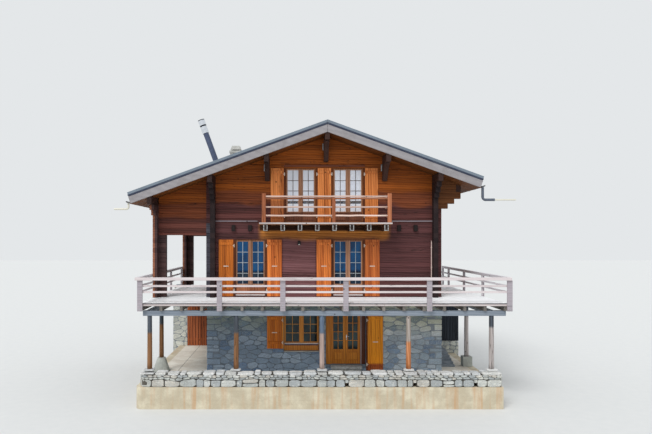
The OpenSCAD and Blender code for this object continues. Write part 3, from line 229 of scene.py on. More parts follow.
def cast(name, deep, pale, stain, stain_share, boards=0.0, cut=0.0, tints_and_shade=()):
    """Concrete: blotches, runs of a stain, board marks and cut joints; given tints, some of them painted
    shade, go over some places.
    """
    material, tree, shader = finish(name, 0.86)
    here = place_of(tree)
    flows = put(tree, "ShaderNodeGroup", {"Point": here, "Width": 5.5}, node_tree=runs).outputs
    fine = cloud(tree, here, 38, 5, 0.7)
    colour = mixed(tree, flows["Blotch"], deep, pale)
    colour = mixed(tree, reckon(tree, "MULTIPLY", fine, 0.35), colour, (92, 90, 84), "MULTIPLY")
    colour = mixed(tree, reckon(tree, "MULTIPLY", flows["Run"], stain_share), colour, stain)
    colour = tinted_and_shaded(tree, here, colour, tints_and_shade)
    height = fine
    if boards:
        edge = reckon(tree, "PINGPONG", parts_of(tree, here)["Z"], boards / 2)
        height = reckon(tree, "ADD", height, fade(tree, edge, 0.0, 0.006, -1.2, 0.0))
    if cut:
        xyz = parts_of(tree, here)
        across, ahead = [reckon(tree, "PINGPONG", xyz[axis], cut / 2) for axis in "XY"]
        line = fade(tree, reckon(tree, "MINIMUM", across, ahead), 0.004, 0.012, 1.0, 0.0)
        colour = mixed(tree, line, colour, (96, 90, 82))
        height = reckon(tree, "SUBTRACT", height, line)
    feed(shader, height, 0.004, 0.7, Base_Color=colour)
    return material


def dress(material, *names):
    """Gives CAD parts whose shape is right their finish."""
    for name in names:
        for place in nodes[name].material_slots:
            place.material = material


old_grey = (150, 146, 138), (178, 174, 166), (130, 124, 114)
wall_cream = (208, 196, 170), (234, 225, 200), (198, 154, 110)
terrace_pale = (232, 222, 206), (251, 245, 232), (196, 174, 150)
base_grey = (170, 174, 168), (200, 204, 196), (140, 138, 128)
dress(cast("wall_concrete", *wall_cream, 0.62, boards=0.15), "retaining_wall")
dress(cast("terrace_concrete", *terrace_pale, 0.2, cut=1.9), "terrace_floor")
dress(cast("inner_concrete", *old_grey, 0.15), "ground_floor")
dress(cast("slab_concrete", *old_grey, 0.3, boards=0.11), "first_floor")
dress(cast("base_concrete", *base_grey, 0.35), "post_bases")


# The stone storey is coursed rubble of blue grey schist in lime mortar, with larger stones at the corners.
# Each wall is a mortar core, set back from the wall's face, and the stones that stand out of it.
bed = 0.016


def rule(name, **inputs):
    """An empty Geometry Nodes tree with named inputs, each a first number or the kind of the input."""
    tree = bpy.data.node_groups.new(name, "GeometryNodeTree")
    face = tree.interface
    face.new_socket("Geometry", in_out="INPUT", socket_type="NodeSocketGeometry")
    for label, value in inputs.items():
        kind = {float: "Float", int: "Int"}.get(type(value), value)
        socket = face.new_socket(label, in_out="INPUT", socket_type=f"NodeSocket{kind}")
        if kind != value:
            socket.default_value = value
    face.new_socket("Geometry", in_out="OUTPUT", socket_type="NodeSocketGeometry")
    return tree, tree.nodes.new("NodeGroupInput").outputs, tree.nodes.new("NodeGroupOutput").inputs


def end_rule(tree, shape, given, made):
    """Ends a tree: real meshes in the place of instances, all of one material."""
    shape = result(tree, "GeometryNodeRealizeInstances", {"Geometry": shape})
    shape = result(tree, "GeometryNodeSetMaterial", {"Geometry": shape, "Material": given["Finish"]})
    tree.links.new(shape, made["Geometry"])


def chance(tree, seed, most=1.0):
    """A random value from 0 to most for each element."""
    values = {2: 0.0, 3: most, "Seed": seed}
    return put(tree, "FunctionNodeRandomValue", values, data_type="FLOAT").outputs[1]


def plain_mesh(name, thing):
    """The mesh that a thing's modifiers make; the thing itself is removed."""
    view = bpy.context.evaluated_depsgraph_get()
    shaped = thing.evaluated_get(view)
    mesh = bpy.data.meshes.new_from_object(shaped, preserve_all_data_layers=True, depsgraph=view)
    bpy.data.objects.remove(thing)
    mesh.name = name
    return mesh


def grown(name, tree, start, **inputs):
    """Runs a tree on a mesh and returns an object with the plain mesh that it makes."""
    seed = set_down(name + "_start", start)
    step = seed.modifiers.new("rule", "NODES")
    step.node_group = tree
    for item in tree.interface.items_tree:
        if item.in_out == "INPUT" and item.name in inputs:
            step[item.identifier] = inputs[item.name]
    return set_down(name, plain_mesh(name, seed))


def fixed(piece, body="house", hides=()):
    """The piece moves with a body, and stands for the CAD parts that it hides."""
    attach(piece, body)
    if hides:
        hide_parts(*hides)
    return piece


laid, given, made = rule("laid stone", Hollow=0.007, Seed=1, Finish="Material")
back = result(laid, "GeometryNodeFlipFaces", {"Mesh": given["Geometry"]})
stands = result(laid, "GeometryNodeInputNamedAttribute", {"Name": "proud"}, data_type="FLOAT")
shell, top = given["Geometry"], True
for share, kept in ((0.62, 0.985), (0.26, 0.90), (0.12, 0.62)):
    risen = put(laid, "GeometryNodeExtrudeMesh", {"Mesh": shell, "Selection": top,
        "Offset Scale": reckon(laid, "MULTIPLY", stands, share)}).outputs
    top = risen["Top"]
    drawn_in = {"Geometry": risen["Mesh"], "Selection": top, "Scale": kept}
    shell = result(laid, "GeometryNodeScaleElements", drawn_in)
dip = reckon(laid, "MULTIPLY", chance(laid, given["Seed"]), given["Hollow"])
facing = result(laid, "GeometryNodeInputNormal")
shift = scaled(laid, facing, reckon(laid, "MULTIPLY", dip, -1.0))
shell = result(laid, "GeometryNodeSetPosition", {"Geometry": shell, "Selection": top, "Offset": shift})
closed = put(laid, "GeometryNodeJoinGeometry")
laid.links.new(back, closed.inputs[0])
laid.links.new(shell, closed.inputs[0])
closed = result(laid, "GeometryNodeMergeByDistance", {"Geometry": closed.outputs[0], "Distance": 0.00002})
end_rule(laid, closed, given, made)


def courses(keys, low, high, rng):
    """Heights of the bed joints at the corners: every key height, and random ones between."""
    lines = [keys[0]]
    for a, b in zip(keys, keys[1:]):
        n = max(1, round((b - a) / rng.uniform(low, high)))
        rises = [rng.uniform(0.7, 1.35) for _ in range(n)]
        for rise in rises:
            lines.append(lines[-1] + (b - a) * rise / sum(rises))
        lines[-1] = b
    return lines


def clipped(ring, a, b, c):
    """The part of a ring of points (s, z) where a s + b z is at most c."""
    kept = []
    for (s0, z0), (s1, z1) in zip(ring, ring[1:] + ring[:1]):
        d0, d1 = a * s0 + b * z0 - c, a * s1 + b * z1 - c
        if d0 <= 0:
            kept.append((s0, z0))
        if d0 * d1 < 0:
            t = d0 / (d0 - d1)
            kept.append((s0 + (s1 - s0) * t, z0 + (z1 - z0) * t))
    return kept


def ring_area(ring):
    return sum(a[0] * b[1] - b[0] * a[1] for a, b in zip(ring, ring[1:] + ring[:1])) / 2


def outside(ring, hole):
    """A ring cut back to the side of a hole that leaves the most of it."""
    a, b, c, d = hole
    centre = [sum(p[k] for p in ring) / len(ring) for k in (0, 1)]
    if not any(a < s < b and c < z < d for s, z in ring + [centre]):
        return ring
    cuts = [clipped(ring, *side) for side in ((1, 0, a), (-1, 0, -b), (0, 1, c), (0, -1, -d))]
    return max(cuts, key=lambda r: ring_area(r) if len(r) > 2 else 0)


def softened(ring, rng, least, most):
    """A ring with every corner cut off, by a random share of its sides."""
    soft = []
    for a, b in zip(ring, ring[1:] + ring[:1]):
        for t in (rng.uniform(least, most), 1 - rng.uniform(least, most)):
            soft.append((a[0] + (b[0] - a[0]) * t, a[1] + (b[1] - a[1]) * t))
    return soft


def rubble(span, heights, holes, rng, wide=0.42, high=0.18, joint=0.020, least=0.003):
    """Outlines of random rubble: loose rows of stones, each cut back half way to its neighbours."""
    s0, s1 = span
    z0, z1 = heights
    spots, z = [], z0 - 0.3 * high
    while z < z1 + high:
        rise = high * rng.uniform(0.7, 1.35)
        s = s0 - wide * rng.random()
        while s < s1 + wide:
            s += wide * rng.uniform(0.5, 1.5)
            spots.append((s, z + rise * rng.uniform(0.22, 0.78)))
        z += rise
    flat = (0.72 * wide / high) ** 2
    found = []
    for s, z in spots:
        if not (s0 - 0.1 < s < s1 + 0.1 and z0 - 0.1 < z < z1 + 0.1):
            continue
        ring = [(s0, z0), (s1, z0), (s1, z1), (s0, z1)]
        for u, v in spots:
            if (u, v) != (s, z) and abs(u - s) < 3 * wide and abs(v - z) < 4 * high and ring:
                half_way = (u * u - s * s) / flat + v * v - z * z
                ring = clipped(ring, 2 * (u - s) / flat, 2 * (v - z), half_way)
        for hole in holes:
            if len(ring) > 2:
                ring = outside(ring, hole)
        for (p, q), (r, t) in zip(list(ring), list(ring[1:] + ring[:1])):
            run = math.hypot(r - p, t - q)
            if run > 0.0001 and len(ring) > 2:
                inward = (q - t) / run, (r - p) / run
                ring = clipped(ring, -inward[0], -inward[1], -(inward[0] * p + inward[1] * q + joint / 2))
        ring = [p for k, p in enumerate(ring) if math.dist(p, ring[k - 1]) > 0.014]
        if len(ring) < 3 or ring_area(ring) < least:
            continue
        found.append(softened(ring, rng, 0.14, 0.30))
    return found


def squared(span, low, high, wide, rng, split):
    """Outlines of one course of squarish stones; some places hold two thin stones instead."""
    found, s = [], span[0]
    while s < span[1] - 0.05:
        e = s + wide * rng.uniform(0.55, 1.5)
        if span[1] - e < 0.5 * wide:
            e = span[1]
        levels = [low, high]
        if rng.random() < split:
            levels.insert(1, low + (high - low) * rng.uniform(0.35, 0.65))
        for a, b in zip(levels, levels[1:]):
            lean = [rng.uniform(0.001, 0.030) for _ in range(8)]
            found.append(softened([(s + lean[0], a + 0.003 + 0.5 * lean[1]),
                (e - lean[2], a + 0.003 + 0.5 * lean[3]), (e - lean[4], b - 0.003 - 0.6 * lean[5]),
                (s + lean[6], b - 0.003 - 0.6 * lean[7])], rng, 0.08, 0.27))
        s = e
    return found


def on_face(outlines, axis, plane, way):
    """Outlines laid on a face square to an axis; way is 1 or -1, the way the face looks."""
    def at(s, z, d):
        return (plane - way * d, s, z) if axis == "x" else (s, plane - way * d, z)

    turned = (axis == "x") == (way < 0)
    return [ring[::-1] for ring in outlines] if turned else outlines, at


def facing_of(name, faces, material, rng, hollow=0.006, depth=bed):
    """Stones of several wall faces: outlines and where a face's points lie in the house."""
    points, rings, proud, tones = [], [], [], []
    for outlines, at in faces:
        for shape in outlines:
            rings.append(list(range(len(points), len(points) + len(shape))))
            points += [at(s, z, depth) for s, z in shape]
            proud.append(rng.uniform(0.78, 1.0) * depth)
            tones.append(rng.random())
    mesh = bpy.data.meshes.new(name + "_outlines")
    mesh.from_pydata(points, [], rings)
    for label, values in (("proud", proud), ("tone", tones)):
        mesh.attributes.new(label, "FLOAT", "FACE").data.foreach_set("value", values)
    return fixed(grown(name, laid, mesh, Hollow=hollow, Seed=rng.randrange(99), Finish=material))


def merged(names):
    """A copy of CAD parts as one shape, its doubles merged."""
    shape = bmesh.new()
    for part in names:
        shape.from_mesh(nodes[part].data)
    bmesh.ops.remove_doubles(shape, verts=shape.verts, dist=0.00005)
    return shape


def mesh_of(name, shape):
    mesh = bpy.data.meshes.new(name)
    shape.to_mesh(mesh)
    shape.free()
    return mesh


def coloured(mesh, material, smooth=False):
    """One material over a whole mesh, whose faces are flat or smooth."""
    mesh.materials.clear()
    mesh.materials.append(material)
    for face in mesh.polygons:
        face.material_index = 0
        face.use_smooth = smooth
    return mesh


def core_of(name, names, move, material):
    """Merged copies of CAD parts with some of their points moved, as one piece that stands for them."""
    shape = merged(names)
    for vert in shape.verts:
        vert.co = move(vert.co.copy())
    return fixed(set_down(name, coloured(mesh_of(name, shape), material)), "house", names)


def rock(name, shades, spot, spot_share, depth=0.006, tints_and_shade=()):
    """Split stone: a shade for each stone, veins, lichen, a rough broken face; given tints, some of them
    painted shade, go over some places.
    """
    material, tree, shader = finish(name, 0.84)
    here = place_of(tree)
    tone = put(tree, "ShaderNodeAttribute", attribute_name="tone").outputs["Fac"]
    ramp = put(tree, "ShaderNodeValToRGB", {"Fac": tone})
    ramp.color_ramp.interpolation = "CONSTANT"
    for k, shade in enumerate(shades):
        stop = ramp.color_ramp.elements[k] if k < 2 else ramp.color_ramp.elements.new(0.5)
        stop.position = k / len(shades)
        stop.color = paint(*shade)
    grit = cloud(tree, here, 46, 6, 0.72)
    veins = cloud(tree, stretched(tree, here, (1, 1, 3.2)), 6.5, 4, 0.6, 0.4)
    mottle = fade(tree, cloud(tree, stretched(tree, here, (1, 1, 2.0)), 13, 4, 0.66), 0.42, 0.64)
    lichen = fade(tree, cloud(tree, here, 8.5, 5, 0.68), 0.56, 0.68)
    broad = fade(tree, cloud(tree, here, 1.1, 2), 0.35, 0.7, 0.22, 0.0)
    colour = mixed(tree, fade(tree, veins, 0.42, 0.66, 0, 0.45), ramp.outputs["Color"], (176, 176, 170))
    colour = mixed(tree, reckon(tree, "MULTIPLY", mottle, 0.42), colour, (206, 212, 216))
    colour = mixed(tree, fade(tree, grit, 0.3, 0.62, 0.44, 0.0), colour, (34, 36, 38))
    colour = mixed(tree, reckon(tree, "MULTIPLY", lichen, spot_share), colour, spot)
    colour = mixed(tree, broad, colour, (60, 62, 60), "MULTIPLY")
    height = reckon(tree, "ADD", grit, reckon(tree, "MULTIPLY", veins, 1.6))
    feed(shader, height, depth, 0.9, Base_Color=tinted_and_shaded(tree, here, colour, tints_and_shade))
    return material


house_left, house_right, house_deep = -4.58, 4.46, 6.20
terrace_z, stone_top = 0.75, 3.38
sill_z, lintel_z, side_sill_z, side_lintel_z = 1.49, 2.95, 1.95, 3.10
# Left of x 1.8 the stones are painted darker: painted shade. Above 2.4 m they are tinted tan, and below 2 m
# a little bluer.
schist = rock("blue_schist", [(144, 168, 196), (196, 208, 220), (122, 145, 172), (214, 222, 228),
    (178, 192, 204), (200, 200, 190), (100, 121, 150), (224, 232, 240), (160, 181, 203)],
    (196, 200, 196), 0.5, tints_and_shade=[(zone(0.3, x=(None, 1.8)), (208, 216, 226)),
    (zone(0.5, z=(2.4, None)), (252, 248, 218)), (zone(0.5, z=(None, 2.0)), (238, 247, 255))])
# The mortar at the left of the front is painted darker too: painted shade.
mortar = cast("lime_mortar", (132, 141, 149), (164, 172, 180), (120, 126, 130), 0.3,
    tints_and_shade=[(zone(0.3, x=(None, 1.8), y=(None, 0.5)), (196, 204, 214))])


def set_back(co):
    """Moves the outer faces of the stone storey in by the depth of the bed."""
    if co.y < 0.001:
        co.y += bed
    if co.y > house_deep - 0.001:
        co.y -= bed
    if co.x < house_left + 0.001:
        co.x += bed
    if co.x > house_right - 0.001:
        co.x -= bed
    return co


core_of("stone_storey_core", ["front_wall_left", "front_wall_center", "front_wall_right",
    "stone_wall_left", "stone_wall_right", "stone_wall_back"], set_back, mortar)
mason = random.Random(11)
key_heights = [0.0, terrace_z, 1.0, sill_z, side_sill_z, lintel_z, side_lintel_z, stone_top]
beds = courses(key_heights, 0.15, 0.25, mason)
long_way, short_way = (0.36, 0.56), (0.20, 0.30)
corner_long = [mason.uniform(*(long_way if k % 2 else short_way)) for k in range(len(beds))]
corner_deep = [mason.uniform(*(short_way if k % 2 else long_way)) for k in range(len(beds))]


def corner_size(sizes, z):
    return sizes[min(range(len(beds)), key=lambda k: abs(beds[k] - z))]


def corner_holes(edges, sizes):
    """Where the corner stones stand on a wall face whose ends are at the edges."""
    rows = [(a, b, corner_size(sizes, a) - 0.006) for a, b in zip(beds, beds[1:])]
    return [(edges[0] - 1, edges[0] + reach, a, b) for a, b, reach in rows] + [
        (edges[1] - reach, edges[1] + 1, a, b) for a, b, reach in rows]


ends_x, ends_y = (house_left, house_right), (0.0, house_deep)
full, high_part = (0.0, stone_top), (terrace_z, stone_top)
low_window_x, doorway_x = (-1.62, -0.26), (0.0, 1.53)
front_holes = [(*low_window_x, sill_z, lintel_z), (*doorway_x, 0.9, side_lintel_z)]
left_hole, rear_hole = (2.65, 3.55, side_sill_z, side_lintel_z), (-0.45, 0.45, side_sill_z, side_lintel_z)
front = rubble(ends_x, high_part, corner_holes(ends_x, corner_long) + front_holes, mason)
left = rubble(ends_y, full, corner_holes(ends_y, corner_deep) + [left_hole], mason)
right = rubble(ends_y, full, corner_holes(ends_y, corner_deep), mason)
rear = rubble(ends_x, full, corner_holes(ends_x, corner_long) + [rear_hole], mason)
filled_to = 5.35


def in_the_open(ring):
    """The terrace and the steps hide the foot of the side walls as far back as they are filled."""
    return max(z for _, z in ring) > terrace_z + 0.01 or min(s for s, _ in ring) > filled_to


left, right = [[ring for ring in wall if in_the_open(ring)] for wall in (left, right)]
for name, face in (("front", (front, "y", 0.0, -1)), ("left", (left, "x", house_left, -1)),
        ("right", (right, "x", house_right, 1)), ("rear", (rear, "y", house_deep, 1))):
    facing_of(f"{name}_wall_stones", [on_face(*face)], schist, mason)


# The corner stones are larger dressed blocks of the same schist. They turn the corner, long and short
# in turn, and each is as high as its course, with its arrises taken off.
def chamfered():
    """Faces of a block whose corners have three points each, one on every side."""
    corner = [[(c >> a & 1) * 2 - 1 for a in range(3)] for c in range(8)]
    spot = [[0.7 * v if k != a else 1.0 * v for k, v in enumerate(c)] for c in corner for a in range(3)]
    faces = [[3 * c + k for k in range(3)] for c in range(8)]
    for a in range(3):
        u, v = [k for k in range(3) if k != a]
        for side in (0, 1):
            ring = [side << a | (i << u) | (j << v) for i, j in ((0, 0), (1, 0), (1, 1), (0, 1))]
            faces.append([3 * c + a for c in ring])
        for i, j in ((0, 0), (1, 0), (1, 1), (0, 1)):
            c = i << u | j << v
            faces.append([3 * c + u, 3 * c + v, 3 * (c | 1 << a) + v, 3 * (c | 1 << a) + u])
    turned = []
    for face in faces:
        p = [Vector(spot[k]) for k in face]
        out = (p[1] - p[0]).cross(p[2] - p[1])
        turned.append(face if out.dot(sum(p, Vector())) > 0 else face[::-1])
    return corner, turned


block_corners, block_faces = chamfered()


def wrapped(rows, around):
    """Faces of a tube made of rings of points, with both its ends closed."""
    faces = [[r + n, r + (n + 1) % around, r + around + (n + 1) % around, r + around + n]
        for r in range(0, rows * around, around) for n in range(around)]
    return faces + [list(range(around))[::-1], list(range(rows * around, (rows + 1) * around))]


class Batch:
    """Worked pieces of one kind, gathered before they become one mesh."""

    def __init__(self):
        self.points, self.faces, self.tones = [], [], []

    def add(self, points, faces, tone):
        start = len(self.points)
        self.points += points
        self.faces += [[start + k for k in face] for face in faces]
        self.tones += [tone] * len(faces)

    def block(self, low, high, edge=0.004, tone=0.5, turn=None, shake=0.0, rng=None):
        """A block with its arrises taken off, turned by a matrix, or with its corners shaken inwards."""
        middle = [(a + b) / 2 for a, b in zip(low, high)]
        half = [(b - a) / 2 for a, b in zip(low, high)]
        points = []
        for corner in block_corners:
            pull = [rng.uniform(0, shake) for _ in range(3)] if shake else (0, 0, 0)
            for a in range(3):
                reach = [h - (0 if k == a else edge) - pull[k] for k, h in enumerate(half)]
                points.append(Vector([m + s * r for m, s, r in zip(middle, corner, reach)]))
        if turn:
            points = [turn @ p for p in points]
        self.add(points, block_faces, tone)

    def pipe(self, path, radius, sides=8, tone=0.5, flat=1.0):
        """A closed round bar along a path; radius is one number or one for each point."""
        path = [Vector(p) for p in path]
        radii = [radius] * len(path) if isinstance(radius, (int, float)) else radius
        points = []
        for k, p in enumerate(path):
            ahead = (path[min(k + 1, len(path) - 1)] - path[max(k - 1, 0)]).normalized()
            across = ahead.cross((0, 0, 1) if abs(ahead.z) < 0.9 else (0, 1, 0)).normalized()
            over = across.cross(ahead)
            for n in range(sides):
                turn = 2 * math.pi * n / sides
                points.append(p + radii[k] * (math.cos(turn) * across + flat * math.sin(turn) * over))
        self.add(points, wrapped(len(path) - 1, sides), tone)

    def made(self, name, material, body="house", hides=(), smooth=False):
        """The finished piece, riding on its body."""
        mesh = bpy.data.meshes.new(name)
        mesh.from_pydata(self.points, [], self.faces)
        mesh.attributes.new("tone", "FLOAT", "FACE").data.foreach_set("value", self.tones)
        shape = bmesh.new()
        shape.from_mesh(mesh)
        bmesh.ops.recalc_face_normals(shape, faces=shape.faces)
        shape.to_mesh(mesh)
        shape.free()
        return fixed(set_down(name, coloured(mesh, material, smooth)), body, hides)


quoins = Batch()
for k, (z0, z1) in enumerate(zip(beds, beds[1:])):
    a, b = corner_size(corner_long, z0) - 0.008, corner_size(corner_deep, z0) - 0.008
    for y in ends_y:
        for x, reach in ((house_left, 1), (house_right, -1)):
            if z1 <= terrace_z + 0.001 and y == 0.0:
                continue
            x0, x1 = sorted((x, x + reach * a))
            y0, y1 = (y, y + b) if y == 0.0 else (y - b, y)
            low, high = (x0, y0, z0 + 0.008), (x1, y1, z1 - 0.008)
            quoins.block(low, high, 0.016, mason.random(), None, 0.008, mason)
quoins.made("corner_stones", schist)


# The parapet on the retaining wall is laid dry: squared field stones with dark open joints, smaller and
# split ones over them, and flat stones of all sizes on top. Its left end is round. Three drain holes go
# through its foot, and a flat stone lies under every log post.
field_stone = rock("field_stone", [(230, 230, 222), (212, 215, 211), (247, 247, 241), (196, 201, 202),
    (234, 227, 215), (222, 228, 230)], (250, 249, 240), 0.6, 0.009,
    tints_and_shade=[(zone(0.006, z=(None, 1.13)), (246, 247, 246))])
dark_joint = cast("dark_joints", (70, 67, 62), (98, 94, 86), (58, 55, 50), 0.3)
wall_front, wall_back, wall_foot, wall_top = -2.41, -1.91, 0.75, 1.27
wall_left, wall_right, wall_round = -6.56, 5.92, 0.24
course_top, cap_low = 1.005, 1.15
post_places = (-6.28, -3.26, -0.25, 2.77, 5.67)
post_y, post_radius = -1.98, 0.09
drain_places, drain_half, drain_high = (0.58, 2.91, 5.00), 0.06, 0.14
deep = 0.05


def parapet_in(co):
    """Moves the parapet's faces in behind its stones, and its top down under the flat stones."""
    if abs(co.y - wall_back) < 0.001:
        co.y -= deep
    elif co.x > wall_left + wall_round - 0.001:
        co.y += deep
    if co.x > wall_right - 0.001:
        co.x -= deep
    if co.x < wall_left + wall_round - 0.001:
        centre = Vector((wall_left + wall_round, wall_front + wall_round, 0))
        if co.y < centre.y:
            spoke = Vector((co.x - centre.x, co.y - centre.y, 0))
            co.x, co.y = (centre + spoke * (1 - deep / wall_round)).xy
        else:
            co.x += deep
    if co.z > wall_top - 0.001:
        co.z = cap_low + 0.03
    return co


core_of("parapet_core", ["stone_parapet"], parapet_in, dark_joint)
arc = wall_round * math.pi / 2
side_run = wall_back - wall_front - wall_round
round_x, round_y = wall_left + wall_round, wall_front + wall_round


def along_parapet(s, z, d):
    """A point on the outer face: s runs from the back of the left end, round it, and along the front."""
    if s < side_run:
        return (wall_left + d, wall_back - s, z)
    if s < side_run + arc:
        turn = (s - side_run) / wall_round
        reach = wall_round - d
        return (round_x - reach * math.cos(turn), round_y - reach * math.sin(turn), z)
    return (round_x + s - side_run - arc, wall_front + d, z)


layer = random.Random(23)
shift_s = side_run + arc - wall_left - wall_round
run_end = shift_s + wall_right


def drains(shift=0.0):
    """The drain holes at the foot, each from and to along the wall, and its top."""
    return [(x + shift - drain_half, x + shift + drain_half, wall_foot + drain_high) for x in drain_places]


def two_courses(span, holes):
    """Large stones with smaller ones over them and an uneven bed between; a small stone spans each hole."""
    stops = [span[0]] + [v for a, b, _ in holes for v in (a, b)] + [span[1]]
    found = rubble(span, (course_top + 0.002, cap_low + 0.008), (), layer, 0.20, 0.085, 0.014, 0.0012)
    for a, b in zip(stops[::2], stops[1::2]):
        found += squared((a, b), wall_foot, course_top, 0.38, layer, 0.12)
    for a, b, top in holes:
        lintel = [(a + 0.004, top + 0.004), (b - 0.004, top + 0.006), (b - 0.008, course_top - 0.008),
            (a + 0.006, course_top - 0.010)]
        found.append(softened(lintel, layer, 0.07, 0.20))
    near = [(a + b) / 2 for a, b, _ in holes]

    def waved(s, z):
        upper, lower = (cap_low - z) / (cap_low - course_top), (z - wall_foot) / (course_top - wall_foot)
        calm = min([1.0] + [abs(s - m) for m in near])
        lift = 0.075 * calm * max(lower if z < course_top else upper, 0)
        return s, z + lift * noise.noise((s * 1.5, 4.0, 7.0))

    return [[waved(s, z) for s, z in ring] for ring in found]


outer = two_courses((0.02, run_end - 0.02), drains(shift_s)), along_parapet
inner = on_face(two_courses((wall_left + 0.06, wall_right - 0.03), drains()), "y", wall_back, 1)
right_end = on_face(two_courses((wall_front + 0.04, wall_back - 0.04), ()), "x", wall_right, 1)
facing_of("parapet_stones", [outer, inner, right_end], field_stone, layer, 0.016, deep)


def flagstone(batch, low, high, rng):
    """A flat stone as it was split: an uneven outline and edges worn round."""
    middle = [(a + b) / 2 for a, b in zip(low, high)]
    half = [(b - a) / 2 for a, b in zip(low, high)]
    around, squareness = 10, 0.4
    reach = [rng.uniform(0.86, 1.0) for _ in range(around)]
    points = []
    for level, share in ((-1.0, 0.92), (-0.4, 1.0), (0.45, 0.99), (1.0, 0.90)):
        for k in range(around):
            turn = 2 * math.pi * (k + 0.5) / around
            way = (math.cos(turn), math.sin(turn))
            spot = [math.copysign(abs(v) ** squareness, v) * share * reach[k] for v in way]
            rise = level * rng.uniform(0.75, 1.0) if level == 1.0 else level
            points.append(Vector([m + h * v for m, h, v in zip(middle, half, spot + [rise])]))
    batch.add(points, wrapped(3, around), rng.random())


caps = Batch()
x = wall_left + 0.01
while x < wall_right - 0.05:
    first = x < wall_left + 0.1
    size = min(layer.uniform(0.5, 0.7) if first else layer.uniform(0.22, 0.62), wall_right - x)
    if wall_right - x - size < 0.2:
        size = wall_right - x
    near = wall_front + layer.uniform(0.0, 0.03) + (0.05 if first else 0.0)
    far = wall_back - layer.uniform(0.0, 0.03)
    middle = layer.uniform(-2.24, -2.06)
    for a, b in ((near, middle - 0.006), (middle + 0.006, far)):
        top = wall_top - layer.uniform(0.015, 0.065)
        split_at = cap_low + (top - cap_low) * layer.uniform(0.4, 0.6)
        levels = (cap_low, split_at, top) if layer.random() < 0.35 and not first else (cap_low, top)
        for low, high in zip(levels, levels[1:]):
            flagstone(caps, (x + 0.004, a, low + 0.002), (x + size - 0.004, b, high), layer)
    x += size
for x in post_places:
    flagstone(caps, (x - 0.20, -2.19, wall_top - 0.025), (x + 0.19, -1.87, wall_top + 0.03), layer)
cap_stone = rock("cap_stone", [(238, 237, 231), (250, 249, 246), (228, 230, 230), (254, 252, 247)],
    (252, 251, 246), 0.6, 0.006)
caps.made("parapet_flat_stones", cap_stone)


# Stone piers of pale schist carry the back ends of the side decks, and a low wall of the same stone
# closes the steps. The shallow steps are single slabs laid on each other.
beam_seat, deck_top, seat_back = 3.15, 3.60, 5.706
left_faces, right_faces = (-7.00, -6.30), (5.44, 5.94)
pier_front, left_pier_back, right_pier_back = 5.40, 6.45, 5.85
low_wall_front, low_wall_back, low_wall_end = 3.60, 4.00, 6.15
low_wall_top, low_wall_head = 1.225, 1.28
pier_planes = [(0, left_faces[0], bed), (0, left_faces[1], -bed), (0, right_faces[0], bed),
    (0, right_faces[1], -bed), (0, low_wall_end, -bed), (1, low_wall_front, bed), (1, low_wall_back, -bed),
    (1, pier_front, bed), (1, seat_back, bed), (1, right_pier_back, -bed), (1, left_pier_back, -bed),
    (2, low_wall_head, -0.05)]


def pier_in(co):
    """Moves the outer faces of the piers and of the low wall in by the bed."""
    was = co.copy()
    for axis, plane, step in pier_planes:
        if abs(was[axis] - plane) < 0.003 and (plane != right_faces[1] or was.y > 5.0):
            co[axis] += step
    return co


core_of("pier_cores", ["side_stone_walls"], pier_in, mortar)
pier_sets = []


def pier_face(heights, span, axis, plane, way, holes=()):
    """Stones of one straight face of a pier."""
    pier_sets.append(on_face(rubble(span, heights, holes, mason, 0.30, 0.17), axis, plane, way))


to_beam, to_deck, to_steps = (0.0, beam_seat), (0.0, deck_top), (0.0, low_wall_top)
left_pier_x, left_pier_y = (-6.995, -6.305), (5.405, 6.445)
right_pier_x, right_pier_y = (5.445, 5.935), (5.405, 5.845)
low_wall_x, low_wall_y = (4.47, 6.145), (3.605, 3.995)
under_beam, on_terrace = [(5.0, 5.71, 3.14, 4.0)], [(4.0, 5.94, -1.0, terrace_z)]
pier_face(to_beam, left_pier_x, "y", pier_front, -1)
pier_face((beam_seat + 0.01, deck_top), left_pier_x, "y", seat_back, -1)
pier_face(to_deck, left_pier_x, "y", left_pier_back, 1)
pier_face(to_deck, left_pier_y, "x", left_faces[0], -1, under_beam)
pier_face(to_deck, left_pier_y, "x", left_faces[1], 1, under_beam)
pier_face((terrace_z, beam_seat), right_pier_x, "y", pier_front, -1)
pier_face(to_beam, right_pier_x, "y", right_pier_back, 1)
pier_face(to_beam, right_pier_y, "x", right_faces[0], -1)
pier_face(to_beam, right_pier_y, "x", right_faces[1], 1)
pier_face(to_steps, low_wall_x, "y", low_wall_front, -1, on_terrace)
pier_face(to_steps, low_wall_x, "y", low_wall_back, 1, on_terrace)
pier_face(to_steps, low_wall_y, "x", low_wall_end, 1)
pier_stone = rock("pale_schist", [(228, 229, 214), (242, 243, 229), (210, 213, 202), (248, 247, 232),
    (220, 215, 194)], (236, 230, 214), 0.5)
facing_of("pier_stones", pier_sets, pier_stone, mason)
low_wall_caps = Batch()
x, end = low_wall_x[0], low_wall_end - 0.002
while x < end - 0.048:
    size = min(mason.uniform(0.3, 0.6), end - x)
    if end - x - size < 0.2:
        size = end - x
    top = low_wall_head - 0.001 - mason.uniform(0, 0.012)
    low = (x + 0.005, low_wall_front + 0.002, low_wall_top - 0.02)
    flagstone(low_wall_caps, low, (x + size - 0.005, low_wall_back - 0.002, top), mason)
    x += size
low_wall_caps.made("low_wall_flat_stones", pier_stone)
slabs = Batch()
first_tread, tread_deep, riser, slab_thick, step_count = 0.75, 0.26, 0.075, 0.07, 6
step_halves = ((4.47, 4.86), (4.87, 5.18))
for k in range(step_count):
    tread = first_tread + tread_deep * k
    last = low_wall_front if k == step_count - 1 else tread + tread_deep
    top = terrace_z + riser * (k + 1)
    for a, b in step_halves:
        slabs.block((a, tread, top - slab_thick), (b, last, top), 0.012, mason.random(), None, 0.006, mason)
